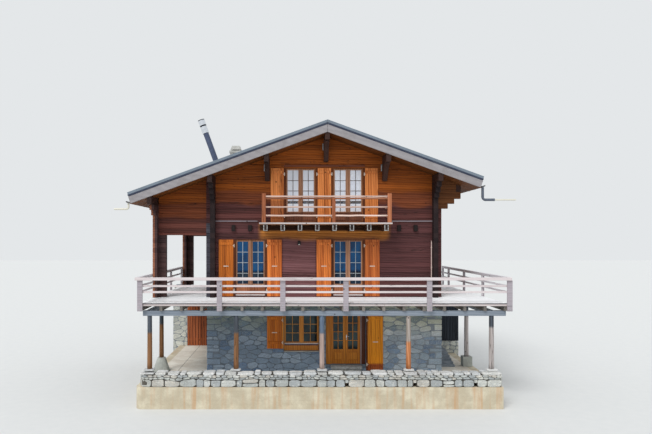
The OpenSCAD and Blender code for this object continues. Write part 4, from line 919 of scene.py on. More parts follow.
door_stones = [((0.175, -0.35, 0.90), (1.355, -0.002, 1.0), 0.014, 0.6),
    ((0.20, -0.33, terrace_z), (0.76, -0.002, 0.895), 0.012, 0.3),
    ((0.77, -0.33, terrace_z), (1.33, -0.002, 0.895), 0.012, 0.8)]
for low, high, edge, tone in door_stones:
    slabs.block(low, high, edge, tone, None, 0.004, mason)
step_stone = rock("step_stone", [(128, 130, 128), (142, 144, 142), (118, 122, 122)],
    (168, 164, 148), 0.3, 0.003)
slabs.made("step_slabs", step_stone, hides=("door_step",))
dress(mortar, "side_steps")


# The upper storeys are squared spruce logs laid dry on each other, crossed and locked at the corners.
# The lower logs are purple brown; high on the gables and under the balcony they are warm.
grain, given, made = group("timber grain", [("Point", "Vector"), ("Stretch", "Vector"), ("Seed", "Float")],
    ["Streak", "Broad", "Crack", "Knot"])
thin = stretched(grain, given["Point"], given["Stretch"])
seeded = result(grain, "ShaderNodeVectorMath", {0: thin, 1: given["Seed"]}, operation="ADD")
lines = cloud(grain, seeded, 58, 4, 0.68)
bands = put(grain, "ShaderNodeTexWave", {"Vector": seeded, "Scale": 7.0, "Distortion": 5.0, "Detail": 3.0,
    "Detail Scale": 1.4}, wave_type="BANDS", bands_direction="DIAGONAL").outputs["Fac"]
streak = reckon(grain, "MULTIPLY_ADD", bands, 0.35, reckon(grain, "MULTIPLY", lines, 0.65))
near = reckon(grain, "ABSOLUTE", reckon(grain, "SUBTRACT", cloud(grain, seeded, 13, 2, 0.45), 0.5))
where = fade(grain, cloud(grain, seeded, 3.1, 2), 0.5, 0.62)
crack = reckon(grain, "MULTIPLY", fade(grain, near, 0.004, 0.016, 1.0, 0.0), where)
eyes = put(grain, "ShaderNodeTexVoronoi", {"Vector": given["Point"], "Scale": 2.3}, feature="F1").outputs
knot = fade(grain, eyes["Distance"], 0.05, 0.085, 1.0, 0.0)
broad = cloud(grain, seeded, 4.6, 3, 0.6)
for label, value in (("Streak", streak), ("Broad", broad), ("Crack", crack), ("Knot", knot)):
    grain.links.new(value, made[label])
course_h, first_z, upper_z = 0.189, 3.60, 6.435


def grain_of(tree, here, stretch, seed=0.0):
    values = {"Point": here, "Stretch": stretch, "Seed": seed}
    return put(tree, "ShaderNodeGroup", values, node_tree=grain).outputs


def timber(name, deep, pale, run="x", zones=(), rough=0.66, marks=1.0, knots=0.7, cracks=0.75,
        coursed=False, seed=0.0):
    """Wood with its grain along an axis; zones are (mask, deep, pale), and coursed logs differ in shade."""
    material, tree, shader = finish(name, rough)
    shader.inputs["Specular IOR Level"].default_value = 0.2
    here = place_of(tree)
    found = grain_of(tree, here, [0.045 if axis == run else 1 for axis in "xyz"], seed)
    if coursed:
        height = reckon(tree, "SUBTRACT", parts_of(tree, here)["Z"], first_z)
        course = reckon(tree, "FLOOR", reckon(tree, "DIVIDE", height, course_h))
        tone = put(tree, "ShaderNodeTexWhiteNoise", {"W": reckon(tree, "ADD", course, seed)},
            noise_dimensions="1D").outputs["Value"]
    else:
        tone = put(tree, "ShaderNodeAttribute", attribute_name="tone").outputs["Fac"]
    share = reckon(tree, "MULTIPLY_ADD", reckon(tree, "SUBTRACT", found["Streak"], 0.5), 1.1 * marks, 0.5)
    share = reckon(tree, "MULTIPLY_ADD", reckon(tree, "SUBTRACT", tone, 0.5), 0.62, share)
    share = reckon(tree, "MULTIPLY_ADD", reckon(tree, "SUBTRACT", found["Broad"], 0.5), marks, share, True)
    colour = mixed(tree, share, deep, pale)
    for mask, low, high in zones:
        colour = mixed(tree, mask(tree, here), colour, mixed(tree, share, low, high))
    colour = mixed(tree, reckon(tree, "MULTIPLY", found["Knot"], knots), colour, (44, 26, 16))
    colour = mixed(tree, reckon(tree, "MULTIPLY", found["Crack"], cracks), colour, (24, 14, 10))
    height = reckon(tree, "SUBTRACT", reckon(tree, "MULTIPLY", found["Streak"], 0.5), found["Crack"])
    feed(shader, height, 0.003, 0.8, Base_Color=colour)
    return material


def warmer_above(level):
    """An uneven line over which the logs are warmer."""
    def mask(tree, here):
        wander = cloud(tree, stretched(tree, here, (0.5, 0.5, 2.0)), 0.9, 3)
        height = reckon(tree, "MULTIPLY_ADD", wander, 0.8, parts_of(tree, here)["Z"])
        return fade(tree, height, level + 0.34, level + 0.50)
    return mask


def under_balcony(tree, here):
    """Where the balcony keeps the sun off the wall, with an uneven lower edge."""
    xyz = parts_of(tree, here)
    wave = reckon(tree, "MULTIPLY_ADD", cloud(tree, here, 1.3, 2), 0.3, xyz["Z"])
    side = fade(tree, reckon(tree, "ABSOLUTE", reckon(tree, "ADD", xyz["X"], 0.06)), 2.35, 2.6, 1.0, 0.0)
    return reckon(tree, "MULTIPLY", side, fade(tree, wave, 5.86, 6.12))


warm_from, loggia_warm_from = first_z + 21 * course_h, first_z + 19 * course_h
ruddy_from, loggia_ruddy_from = warm_from - 2 * course_h, loggia_warm_from - 3 * course_h
# The logs' ends past the left corner, in the front wall and in the gable, are painted darker: painted
# shade.
log_ends_in_shade = zone(x=(None, -4.43))
dress(timber("front_logs", (60, 34, 34), (99, 60, 60), zones=[
    (zone(0.05, x=(-1.66, -0.40)), (78, 46, 46), (130, 88, 90)),
    (under_balcony, (140, 84, 34), (204, 134, 62)),
    # The wall between the beams, under the balcony floor, is painted near black: painted shade.
    (zone(0.02, x=(-2.55, 2.43), z=(6.15, None)), (46, 26, 14), (70, 42, 22)),
    (log_ends_in_shade, (50, 48, 56), (82, 80, 90))], coursed=True), "log_wall_front")
dress(timber("gable_logs", (66, 35, 33), (108, 62, 58), zones=[
    (warmer_above(ruddy_from), (92, 44, 22), (146, 78, 44)),
    (warmer_above(warm_from), (104, 50, 12), (172, 90, 26)),
    (log_ends_in_shade, (58, 32, 32), (94, 56, 56)),
    (zone(x=(4.27, None), z=(7.0, None)), (84, 48, 24), (126, 78, 42))], coursed=True, seed=3.0),
    "gable_wall_front", "log_wall_back")
# The side logs' ends that stand out in front of the gables are painted near black: painted shade.
dress(timber("side_logs", (66, 40, 32), (108, 68, 50), "y", [
    (zone(y=(None, -0.01)), (26, 18, 20), (50, 36, 36))], coursed=True, seed=7.0),
    "log_wall_left", "log_wall_right")
dress(timber("loggia_logs", (72, 38, 32), (116, 66, 56), zones=[
    (warmer_above(loggia_ruddy_from), (88, 42, 22), (140, 74, 42)),
    (warmer_above(loggia_warm_from), (94, 42, 8), (154, 80, 20))], coursed=True, seed=5.0),
    "loggia_gables")
# The loggia pillars are painted dark, which is painted shade, and their outer left log ends lighter, which
# is painted light.
dress(timber("pillar_logs", (54, 39, 39), (86, 62, 60), zones=[
    (zone(x=(None, -6.52)), (112, 64, 46), (164, 106, 78))], coursed=True, seed=9.0), "loggia_pillars")


# The upper floor rests on sawn beams, which run out in front to carry the balcony. Each beam end there
# has a pale metal cap against the rain. Single boards make the balcony floor, with a pale edge board.
def worked(name, part, material, edge=0.008):
    """A CAD part with its arrises planed off, which stands for it."""
    shape = merged([part])
    bmesh.ops.dissolve_limit(shape, angle_limit=math.radians(1), verts=shape.verts, edges=shape.edges)
    draft = set_down(name + "_draft", mesh_of(name + "_draft", shape))
    planed = draft.modifiers.new("planed", "BEVEL")
    planed.width = edge
    planed.segments = 1
    planed.limit_method = "ANGLE"
    mesh = plain_mesh(name, draft)
    loose_part_tones(mesh)
    return fixed(set_down(name, coloured(mesh, material)), "house", [part])


def loose_part_tones(mesh):
    """One random tone for each separate member of a mesh."""
    group_of = list(range(len(mesh.vertices)))

    def root(k):
        while group_of[k] != k:
            group_of[k] = group_of[group_of[k]]
            k = group_of[k]
        return k

    for a, b in (e.vertices for e in mesh.edges):
        group_of[root(a)] = root(b)
    picker = random.Random(len(mesh.vertices))
    shades = {}
    values = [shades.setdefault(root(k), picker.random()) for k in range(len(mesh.vertices))]
    mesh.attributes.new("tone", "FLOAT", "POINT").data.foreach_set("value", values)


boards, given, made = rule("board row", Length=1.0, Width=0.1, Thickness=0.02, Pitch=0.11, Count=5,
    Edge=0.003, Seed=1, Finish="Material")
profile = result(boards, "GeometryNodeCurvePrimitiveQuadrilateral",
    {"Width": given["Width"], "Height": given["Thickness"]}, mode="RECTANGLE")
profile = result(boards, "GeometryNodeFilletCurve",
    {"Curve": profile, "Radius": given["Edge"], "Count": 1}, mode="POLY")
halves = [reckon(boards, "MULTIPLY", given["Length"], share) for share in (-0.5, 0.5)]
start, end = [result(boards, "ShaderNodeCombineXYZ", {0: half}) for half in halves]
rail = result(boards, "GeometryNodeCurvePrimitiveLine", {"Start": start, "End": end})
swept = {"Curve": rail, "Profile Curve": profile, "Fill Caps": True}
board = result(boards, "GeometryNodeCurveToMesh", swept)
board = result(boards, "GeometryNodeSetShadeSmooth", {"Geometry": board, "Shade Smooth": False})
steps = reckon(boards, "MULTIPLY", reckon(boards, "SUBTRACT", given["Count"], 1.0), -0.5)
first = result(boards, "ShaderNodeCombineXYZ", {1: reckon(boards, "MULTIPLY", steps, given["Pitch"])})
apart = result(boards, "ShaderNodeCombineXYZ", {1: given["Pitch"]})
row = result(boards, "GeometryNodeMeshLine",
    {"Count": given["Count"], "Start Location": first, "Offset": apart}, mode="OFFSET")
placed = result(boards, "GeometryNodeInstanceOnPoints", {"Points": row, "Instance": board})
toned = {"Geometry": placed, "Name": "tone", "Value": chance(boards, given["Seed"])}
placed = result(boards, "GeometryNodeStoreNamedAttribute", toned, data_type="FLOAT", domain="INSTANCE")
end_rule(boards, placed, given, made)
one_point = bpy.data.meshes.new("one_point")
one_point.from_pydata([(0, 0, 0)], [], [])


def board_rows(name, rows, board, material, edge=0.005, hides=()):
    """Rows of boards as one piece: each row has its middle, the ways that the boards and the row run, and
    its length and width; a board has a width, a gap and a thickness."""
    width, gap, thick = board
    drafts = []
    for k, (middle, run, across, length, row_w) in enumerate(rows):
        count = max(1, round((row_w + gap) / (width + gap)))
        pitch = (row_w + gap) / count
        draft = grown(f"{name}_{k}", boards, one_point, Length=length, Width=pitch - gap, Thickness=thick,
            Pitch=pitch, Count=count, Edge=edge, Seed=k + 3, Finish=material)
        ahead, side = Vector(run).normalized(), Vector(across).normalized()
        turn = Matrix((ahead, side, ahead.cross(side))).transposed().to_4x4()
        turn.translation = Vector(middle)
        draft.data.transform(turn)
        drafts.append(draft)
    piece = drafts[0]
    if drafts[1:]:
        with bpy.context.temp_override(active_object=piece, object=piece, selected_editable_objects=drafts):
            bpy.ops.object.join()
    piece.name = piece.data.name = name
    return fixed(piece, "house", hides)


balcony_left, balcony_right, balcony_front = -2.51, 2.39, -1.0
beam_first, beam_apart, beam_foot, beam_top = -3.55, 0.635, 6.132, 6.345
beam_dark = (18, 13, 14), (38, 29, 28)
beam_wood = timber("beam_wood", (52, 34, 26), (92, 62, 44), "y", [
    (zone(0.002, y=(None, balcony_front + 0.007)), (28, 20, 18), (56, 42, 36)),
    (zone(x=(None, -2.6), y=(None, 0.0)), *beam_dark),
    (zone(x=(2.5, None), y=(None, 0.0)), *beam_dark)], marks=0.9)
worked("floor_beam_timbers", "floor_beams", beam_wood)
floor_wood = timber("floor_wood", (150, 116, 78), (186, 150, 108))
dress(floor_wood, "upper_floor")
silver_wood = timber("silver_wood", (170, 158, 156), (216, 206, 204), marks=0.8, cracks=0.55)
gold_wood = timber("gold_wood", (138, 92, 58), (190, 138, 96), marks=0.9)
floor_w, floor_thick = 0.94, 0.07
floor_middle = ((balcony_left + balcony_right) / 2, -0.02 - floor_w / 2, upper_z - floor_thick / 2)
floor_row = (floor_middle, (1, 0, 0), (0, 1, 0), balcony_right - balcony_left, floor_w)
board_rows("balcony_boards", [floor_row], (0.13, 0.008, floor_thick), gold_wood, hides=("balcony_floor",))
edging = Batch()
edging.block((balcony_left, balcony_front, 6.380), (balcony_right, -0.962, upper_z), 0.006, 0.8)
edging.made("balcony_edge_board", silver_wood)
zinc = coat("dull_zinc", 0.42, 0.8, (150, 156, 160), (196, 200, 202), 9, 5, 0.65, (0.35, 0.65), (0.34, 0.6))
tin = Batch()
cap_front, cap_back, cap_half, cap_open = balcony_front - 0.004, balcony_front + 0.001, 0.079, 0.046
for k in range(12):
    x = beam_first + beam_apart * k
    if balcony_left < x < balcony_right:
        low, high = (x - 0.076, balcony_front + 0.002, beam_top), (x + 0.076, -0.91, beam_top + 0.0195)
        tin.block(low, high, 0.003)
        for side in (-1, 1):
            a, b = sorted((x + side * cap_open, x + side * cap_half))
            tin.block((a, cap_front, beam_foot), (b, cap_back, beam_top), 0.001, 0.5 + 0.2 * side)
        tin.block((x - cap_open, cap_front, beam_foot), (x + cap_open, cap_back, beam_foot + 0.028), 0.001)
old_tin = coat("weathered_tin", 0.62, 0.15, (98, 94, 92), (182, 182, 180), 16, 5, 0.7, (0.36, 0.64))
tin.made("beam_caps", old_tin)


# The roof rests on seven squared purlins, bevelled at their ends. Those of the ridge and the middle
# stand on brackets of stacked log ends, which iron straps hold to the gables.
purlin_wood = timber("purlin_wood", (40, 27, 25), (70, 47, 40), "y", marks=0.9)
worked("purlin_timbers", "purlins", purlin_wood, 0.010)
worked("bracket_logs", "purlin_corbels", purlin_wood, 0.014)
dress(timber("trim_wood", (96, 52, 34), (142, 82, 56), zones=[
    (zone(z=(None, 6.6)), (124, 114, 120), (156, 146, 150))], marks=0.8), "trim_boards")
straps, brackets = Batch(), ((0.0, 9.30), (-2.25, 8.50), (2.25, 8.50))
for x, z in brackets:
    for y in (-0.006, house_deep + 0.006):
        straps.block((x - 0.135, y - 0.006, z - 0.06), (x - 0.095, y + 0.006, z + 0.20), 0.002)
straps.made("bracket_straps", zinc)


# The underside of the roof is boarded down the slope. Over it lie the insulation and a covering of
# folded dark zinc with standing seams. Grey painted bargeboards close the gables.
roof_a = math.radians(20)
slope_down = math.tan(roof_a)
ridge_z = 9.76
left_reach, right_reach = 7.25, 5.64
lining = 0.020


def lift_slab(co):
    """Moves the underside of the roof up over its boards."""
    if abs(co.z - (ridge_z - slope_down * abs(co.x))) < 0.002:
        co += Vector((math.copysign(math.sin(roof_a), co.x), 0, math.cos(roof_a))) * (lining + 0.0005)
    return co


soffit_wood = timber("soffit_wood", (74, 40, 13), (126, 72, 27), marks=0.9)
core_of("roof_core", ["roof_slabs"], lift_slab, soffit_wood)
roof_rows, roof_run = [], 8.196
for side, reach in ((-1, left_reach), (1, right_reach)):
    run = (side * math.cos(roof_a), 0, -math.sin(roof_a))
    up = Vector((side * math.sin(roof_a), 0, math.cos(roof_a)))
    middle = Vector((side * reach / 2, house_deep / 2, ridge_z - slope_down * reach / 2)) + up * lining / 2
    roof_rows.append((middle, run, (0, 1, 0), reach / math.cos(roof_a) - 0.004, roof_run))
board_rows("roof_lining", roof_rows, (0.13, 0.003, lining), soffit_wood, 0.004)

folded, tree, shader = finish("folded_zinc", 0.48, 0.3)
here = place_of(tree)
patina = cloud(tree, here, 2.2, 6, 0.62)
sheets = cloud(tree, stretched(tree, here, (0.3, 1.6, 0.3)), 1.3, 2)
colour = mixed(tree, fade(tree, patina, 0.35, 0.68), (70, 78, 88), (98, 106, 115))
colour = mixed(tree, fade(tree, sheets, 0.4, 0.6, 0.0, 0.35), colour, (58, 66, 76))
feed(shader, cloud(tree, here, 1.5, 2), 0.02, 0.25, Base_Color=colour,
    Roughness=fade(tree, patina, 0.3, 0.7, 0.36, 0.6))
dress(folded, "roof_covering", "ridge_cap")
verge, tree, shader = finish("verge_zinc", 0.46, 0.3)
fold_and_shade_at = ridge_z + 0.347
here = place_of(tree)
xyz = parts_of(tree, here)
drop = reckon(tree, "MULTIPLY_ADD", reckon(tree, "ABSOLUTE", xyz["X"]), slope_down, xyz["Z"])
# Below the fold the face is painted dark navy, which is painted shade under the fold; the fold also gives
# the relief.
fold_and_shade = fade(tree, drop, fold_and_shade_at, fold_and_shade_at + 0.006)
colour = mixed(tree, fold_and_shade, (40, 48, 72), (122, 134, 146))
colour = mixed(tree, fade(tree, cloud(tree, here, 4, 4), 0.4, 0.7, 0, 0.3), colour, (92, 100, 110))
feed(shader, fold_and_shade, 0.006, 0.8, Base_Color=colour)
dress(verge, "verge_flashings")
painted, tree, shader = finish("painted_barge", 0.58)
here = place_of(tree)
streak = grain_of(tree, here, (0.12, 1, 0.4), 2.0)["Streak"]
colour = mixed(tree, streak, (136, 132, 135), (160, 156, 158))
worn = fade(tree, cloud(tree, here, 2.4, 5, 0.6), 0.45, 0.7, 0, 0.4)
feed(shader, streak, 0.002, 0.5, Base_Color=mixed(tree, worn, colour, (120, 114, 113)))
worked("barge_boards", "bargeboards", painted)


# Half round zinc gutters hang along both eaves on flat zinc hooks, bent to their shape and evenly spaced.
# Long painted spouts throw the water clear of the deck.
fastened, given, made = rule("fastened", Wander=0.0, Seed=1, Finish="Material", Shape="Object")
model = {"Object": given["Shape"], "As Instance": True}
shape = put(fastened, "GeometryNodeObjectInfo", model).outputs["Geometry"]
facing = result(fastened, "GeometryNodeInputNamedAttribute", {"Name": "facing"}, data_type="FLOAT_VECTOR")
turn = result(fastened, "FunctionNodeAlignRotationToVector", {"Vector": facing}, axis="Z")
own_axis = {"Axis": (0, 0, 1), "Angle": chance(fastened, given["Seed"], given["Wander"])}
spin = result(fastened, "FunctionNodeAxisAngleToRotation", own_axis)
both_turns = {"Rotation": turn, "Rotate By": spin}
spun = result(fastened, "FunctionNodeRotateRotation", both_turns, rotation_space="LOCAL")
placed = {"Points": given["Geometry"], "Instance": shape, "Rotation": spun}
end_rule(fastened, result(fastened, "GeometryNodeInstanceOnPoints", placed), given, made)


def fasten(name, batch, spots, material, wander=0.0):
    """One small shape, modelled with its head towards Z, at each (point, facing)."""
    model = bpy.data.meshes.new(name + "_model")
    model.from_pydata(batch.points, [], batch.faces)
    pattern = set_down(name + "_model", model)
    marks = bpy.data.meshes.new(name + "_marks")
    marks.from_pydata([p for p, _ in spots], [], [])
    values = [v for _, way in spots for v in way]
    marks.attributes.new("facing", "FLOAT_VECTOR", "POINT").data.foreach_set("vector", values)
    piece = grown(name, fastened, marks, Shape=pattern, Wander=wander, Seed=5, Finish=material)
    bpy.data.objects.remove(pattern)
    return fixed(piece)


dress(zinc, "gutters")
spout, tree, shader = finish("spout_paint", 0.5, 0.1)
here = place_of(tree)
worn = cloud(tree, here, 9, 4, 0.6)
pale, blue_grey = [mixed(tree, worn, *pair) for pair in (((206, 202, 184), (232, 229, 214)),
    ((70, 78, 92), (100, 108, 122)))]
feed(shader, Base_Color=mixed(tree, zone(0.004, x=(0.0, 6.165))(tree, here), pale, blue_grey))
dress(spout, "rain_spouts")
hook, across_eave, hook_radius = Batch(), Batch(), 0.084
bend = [math.pi * k / 8 for k in range(9)]
hook.pipe([(0.0, hook_radius * math.cos(t), -hook_radius * math.sin(t)) for t in bend], 0.008, 4, 0.5, 0.35)
across_eave.add([Vector((p.y, p.x, p.z)) for p in hook.points], [f[::-1] for f in hook.faces], 0.5)
gutter_out, hook_up, hook_first, hook_apart = 0.081, 0.1025, -0.7, 0.73
hooks = []
for way, reach in ((-1, left_reach), (1, right_reach)):
    hook_x, hook_z = way * (reach + gutter_out), ridge_z - slope_down * reach + hook_up
    hooks += [((hook_x, hook_first + hook_apart * k, hook_z), (0, 0, 1)) for k in range(11)]
fasten("gutter_hooks", across_eave, hooks, zinc)


# The leaning flue is black enamelled steel with a bright cowl, which two dark bands hold. The chimney
# behind it is built of blocks and rendered with lime, and so is its cowl.
enamel, tree, shader = finish("black_enamel", 0.32, 0.1)
here = place_of(tree)
feed(shader, Base_Color=mixed(tree, cloud(tree, here, 7, 4), (54, 64, 88), (88, 100, 130)),
    Roughness=fade(tree, cloud(tree, here, 14, 3), 0.3, 0.7, 0.28, 0.5))
dress(enamel, "flue_pipe")
steel, tree, shader = finish("bright_steel", 0.25, 0.9)
here = place_of(tree)
colour = mixed(tree, cloud(tree, here, 12, 5), (204, 210, 218), (240, 242, 246))
low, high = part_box("flue_cowl")
lean = Vector((-math.sin(roof_a), 0, math.cos(roof_a)))
along_flue = put(tree, "ShaderNodeVectorMath", {0: here, 1: lean}, operation="DOT_PRODUCT").outputs["Value"]
cowl_radius = 0.145
cowl_top = lean.dot(Vector((low.x, 0, high.z))) - cowl_radius * math.sin(roof_a) * math.cos(roof_a)
for below, thick in ((0.0, 0.075), (0.30, 0.05)):
    middle = reckon(tree, "ABSOLUTE", reckon(tree, "SUBTRACT", along_flue, cowl_top - below - thick / 2))
    band = fade(tree, middle, thick / 2, thick / 2 + 0.006, 1.0, 0.0)
    colour = mixed(tree, band, colour, (34, 40, 50))
brushed = cloud(tree, stretched(tree, here, (1, 1, 0.2)), 60, 3)
feed(shader, Base_Color=colour, Roughness=fade(tree, brushed, 0.3, 0.7, 0.18, 0.42))
dress(steel, "flue_cowl")
render_coat = cast("lime_render", (196, 196, 190), (224, 224, 218), (150, 146, 138), 0.35)
dress(render_coat, "chimney", "chimney_cowl")


# The deck stands on peeled log posts, tan and grey at their feet; most of them are painted dark above with
# the deck's shadow. Its beams and joists have gone silver, and its boards are bleached nearly white. A
# silver board finishes the edge, and a thin dark strip over it is painted shade under the boards' front
# ends.
middle_post, third_post, last_post = (-0.45, -0.05), (2.6, 2.95), (4.0, None)
post_wood_and_shadow = timber("log_post_wood", (98, 66, 38), (146, 106, 74), "z", [
    (zone(x=middle_post), (116, 98, 90), (190, 168, 158)),
    (zone(x=third_post), (172, 106, 60), (236, 170, 128)),
    (zone(x=last_post), (142, 132, 128), (198, 190, 188)),
    # The upper parts of most posts are painted dark blue grey: the painted shadow of the deck.
    (zone(0.06, x=(None, 2.5), z=(2.55, None)), (48, 54, 60), (86, 92, 100)),
    (zone(0.06, x=third_post, z=(2.25, None)), (148, 138, 128), (200, 190, 184)),
    (zone(0.06, x=last_post, z=(2.75, None)), (50, 56, 64), (88, 94, 104)),
    (zone(0.06, x=middle_post, z=(2.55, None)), (66, 80, 98), (106, 122, 142))], marks=1.2, cracks=0.9)
logs = Batch()
carver = random.Random(5)


def log_post(x, y, foot):
    """A peeled log, a little bent and thinner to its top."""
    rings = 9
    bend = [carver.uniform(-0.008, 0.008) for _ in range(2)]
    path, radii = [], []
    for k in range(rings):
        t = k / (rings - 1)
        lean = math.sin(math.pi * t)
        path.append((x + bend[0] * lean, y + bend[1] * lean, foot + (beam_seat - foot) * t))
        radii.append(post_radius * (0.985 - 0.10 * t + 0.012 * noise.noise((x, y, t * 5))))
    logs.pipe(path, radii, 14, carver.random())


pad_top, side_posts = 1.296, ((-6.33, 0.06, 1.28), (5.69, 0.95, 1.14))
for x in post_places:
    log_post(x, post_y, pad_top)
for x, y, foot in side_posts:
    log_post(x, y, foot)
logs.made("log_posts", post_wood_and_shadow, hides=("deck_posts",), smooth=True)
beam_grey = timber("deck_beam_wood", (120, 130, 142), (160, 168, 178), marks=0.8)
joist_grey = timber("deck_joist_wood", (96, 92, 88), (140, 134, 128), "y", marks=0.8)
worked("deck_beam_timbers", "deck_beams", beam_grey)
worked("deck_joist_timbers", "deck_joists", joist_grey, 0.006)
deck_left, deck_right, deck_front, joint_x = -6.60, 6.15, -2.20, (-2.35, 1.90)
board_thick, board_front, half_joint = 0.045, -2.154, 0.002
deck_board, board_z = (0.135, 0.008, board_thick), deck_top - board_thick / 2
bleached, bleached_side = [
    timber(name, (240, 243, 245), (254, 254, 254), run, marks=0.5, cracks=0.2, knots=0.15)
    for name, run in (("bleached_boards", "x"), ("bleached_side_boards", "y"))]
bays = [(deck_left, joint_x[0] - half_joint), (joint_x[0] + half_joint, joint_x[1] - half_joint),
    (joint_x[1] + half_joint, deck_right)]
front_rows = [(((a + b) / 2, board_front / 2, board_z), (1, 0, 0), (0, 1, 0), b - a, -board_front)
    for a, b in bays]
side_bays = ((deck_left, house_left, 0.006, 2.84), (deck_left, house_left, 2.845, 5.70),
    (house_right, deck_right, 0.006, 3.25), (house_right, deck_right, 3.255, 6.50))
side_rows = [(((a + b) / 2, (c + d) / 2, board_z), (0, 1, 0), (1, 0, 0), d - c, b - a)
    for a, b, c, d in side_bays]
board_rows("deck_front_boards", front_rows, deck_board, bleached, hides=("deck_boards",))
board_rows("deck_side_boards", side_rows, deck_board, bleached_side)
# A thin dark strip over the edge board, under the boards' front ends, is painted shade.
edging, shade_strip = Batch(), Batch()
edge_low, edge_high = 3.505, 3.564
for a, b in bays:
    edging.block((a, deck_front, edge_low), (b, board_front - 0.002, edge_high), 0.006, 0.3 + a % 1 * 0.5)
    low, high = (a, board_front - 0.009, edge_high + 0.002), (b, board_front - 0.0005, deck_top - 0.0015)
    shade_strip.block(low, high, 0.001)
edging.made("deck_edge_boards", silver_wood)
shade_strip.made("deck_drip_battens", timber("shade_strip_wood", (34, 30, 36), (56, 50, 58), marks=0.8))


# The deck rails are a heavy hand rail and two lower rails on sawn posts, all silver with age, the posts
# a shade greyer. Two zinc coated bolts hold each post to the edge of the deck.
post_grey, under_rail = ((141, 134, 140), (175, 167, 173)), (None, 4.39)
rail_wood = timber("rail_wood", (188, 176, 177), (224, 214, 214), "x", [
    (zone(0.002, y=(None, deck_front - 0.005), z=under_rail), *post_grey)], marks=0.8, cracks=0.5)
rail_wood_side = timber("rail_wood_side", (196, 192, 196), (232, 228, 232), "y", [
    (zone(0.002, x=(None, deck_left - 0.005), z=under_rail), *post_grey),
    (zone(0.002, x=(deck_right + 0.005, None), z=under_rail), *post_grey)], marks=0.8, cracks=0.5)
for name, wood in (("front", rail_wood), ("left", rail_wood_side), ("right", rail_wood_side)):
    worked(f"{name}_rail_timbers", f"deck_rail_{name}", wood, 0.007)
bolt = Batch()
bolt.pipe([(0, 0, -0.002), (0, 0, 0.003)], 0.018, 8)
bolt.pipe([(0, 0, 0.003), (0, 0, 0.011)], 0.010, 6)
bolt_heights, post_out = (3.40, 3.54), 0.12
front_bolts = (-6.56, -3.81, -1.62, 0.56, 3.45, 6.22)
left_bolts, right_bolts = (3.20, 5.60), (0.45, 2.90, 5.35)
spots = [((x, deck_front - post_out, z), (0, -1, 0)) for x in front_bolts for z in bolt_heights]
spots += [((deck_left - post_out, y, z), (-1, 0, 0)) for y in left_bolts for z in bolt_heights]
spots += [((deck_right + post_out, y, z), (1, 0, 0)) for y in right_bolts for z in bolt_heights]
fasten("rail_bolts", bolt, spots, zinc, wander=1.0)


# The balcony rail is three peeled poles, silver with age, let into sawn posts that still show red wood.
# A fourth pole lies directly under the top one; it is painted brown, partly its own colour and partly
# painted shade under the top pole.
post_wood = timber("balcony_post_wood", (134, 75, 47), (189, 120, 84), "z", marks=0.9)
worked("balcony_post_timbers", "balcony_posts", post_wood)
pole_wood = timber("pole_wood", (186, 156, 142), (242, 216, 204), "x",
    # The band of the fourth pole is painted brown: its own colour, together with painted shade under the
    # top pole.
    [(zone(0.004, z=(7.2, 7.352)), (112, 66, 44), (168, 112, 82))], marks=0.9, cracks=0.8)
poles = Batch()


def pole(start, end, radius):
    """A peeled pole that is never quite straight."""
    start, end = Vector(start), Vector(end)
    rings = max(4, int((end - start).length / 0.25))
    path, radii = [], []
    for k in range(rings + 1):
        t = k / rings
        wander = Vector((0, noise.noise((t * 6, start.z, 1.0)), noise.noise((t * 6, start.z, 9.0)))) * 0.018
        if start.y != end.y:
            wander = Vector((wander.y, 0, wander.z)) * 0.5
        path.append(start.lerp(end, t) + wander * math.sin(math.pi * min(t, 1 - t) * 2))
        radii.append(radius * (0.86 + 0.10 * noise.noise((t * 9, start.z, 3.0))))
    poles.pipe(path, radii, 10, carver.random())


pole_y, side_y, top_pole = -0.955, -0.93, 0.96
pole_ends, halves = (-2.29, 2.235), ((-2.29, 0.195), (0.275, 2.235))
for height in (0.26, 0.57, top_pole):
    z = upper_z + height
    for a, b in (pole_ends,) if height == top_pole else halves:
        pole((a, pole_y, z), (b, pole_y, z), 0.036)
    for x in (-2.34, 2.285):
        pole((x, side_y, z), (x, -0.002, z), 0.034)
z = upper_z + 0.885
for a, b in halves:
    pole((a, pole_y, z), (b, pole_y, z), 0.040)
poles.made("balcony_poles", pole_wood, hides=("balcony_rails",), smooth=True)


# Windows are varnished larch with two casements each, divided by thin bars, and a wooden panel at the
# foot of the French windows. Every casement has its own stiles and rails, set in the fixed frame.
front_side, right_side, rear_side, left_side = range(4)


def on_wall(side, left, right):
    """Turns a window made for the front wall to another side, whose face is at left or right."""
    place = Matrix.Rotation(math.radians((0, 90, 180, -90)[side]), 4, "Z")
    place.translation = [(0, 0, 0), (right, 0, 0), (0, house_deep, 0), (-left, 0, 0)][side]
    return place


log_faces, stone_faces = (4.42, 4.26), (4.58, 4.46)
french_size, upper_size, small_size = (1.16, 2.18, 0.42), (1.16, 2.09, 0.37), (0.90, 1.15, 0)
on_deck, on_balcony, low_sill, high_sill = 3.63, 6.465, 4.55, 7.385
french = [(front_side, x, on_deck, *french_size) for x in (-2.905, 0.85)]
upper_french = [(front_side, x, on_balcony, *upper_size) for x in (-0.97, 0.85)]
plain = [(rear_side, 2.905, low_sill, *small_size), (rear_side, -0.85, low_sill, *small_size),
    (rear_side, 0.97, high_sill, *small_size), (rear_side, -0.85, high_sill, *small_size),
    (right_side, 3.10, low_sill, *small_size), (left_side, -3.10, on_deck, 0.90, 2.18, 0.42)]
in_stone = [(front_side, -0.94, sill_z, 1.36, lintel_z - sill_z, 0.32),
    (left_side, -3.10, side_sill_z, *small_size), (rear_side, 0.0, side_sill_z, *small_size)]
stone_storey = zone(z=(None, 3.4))
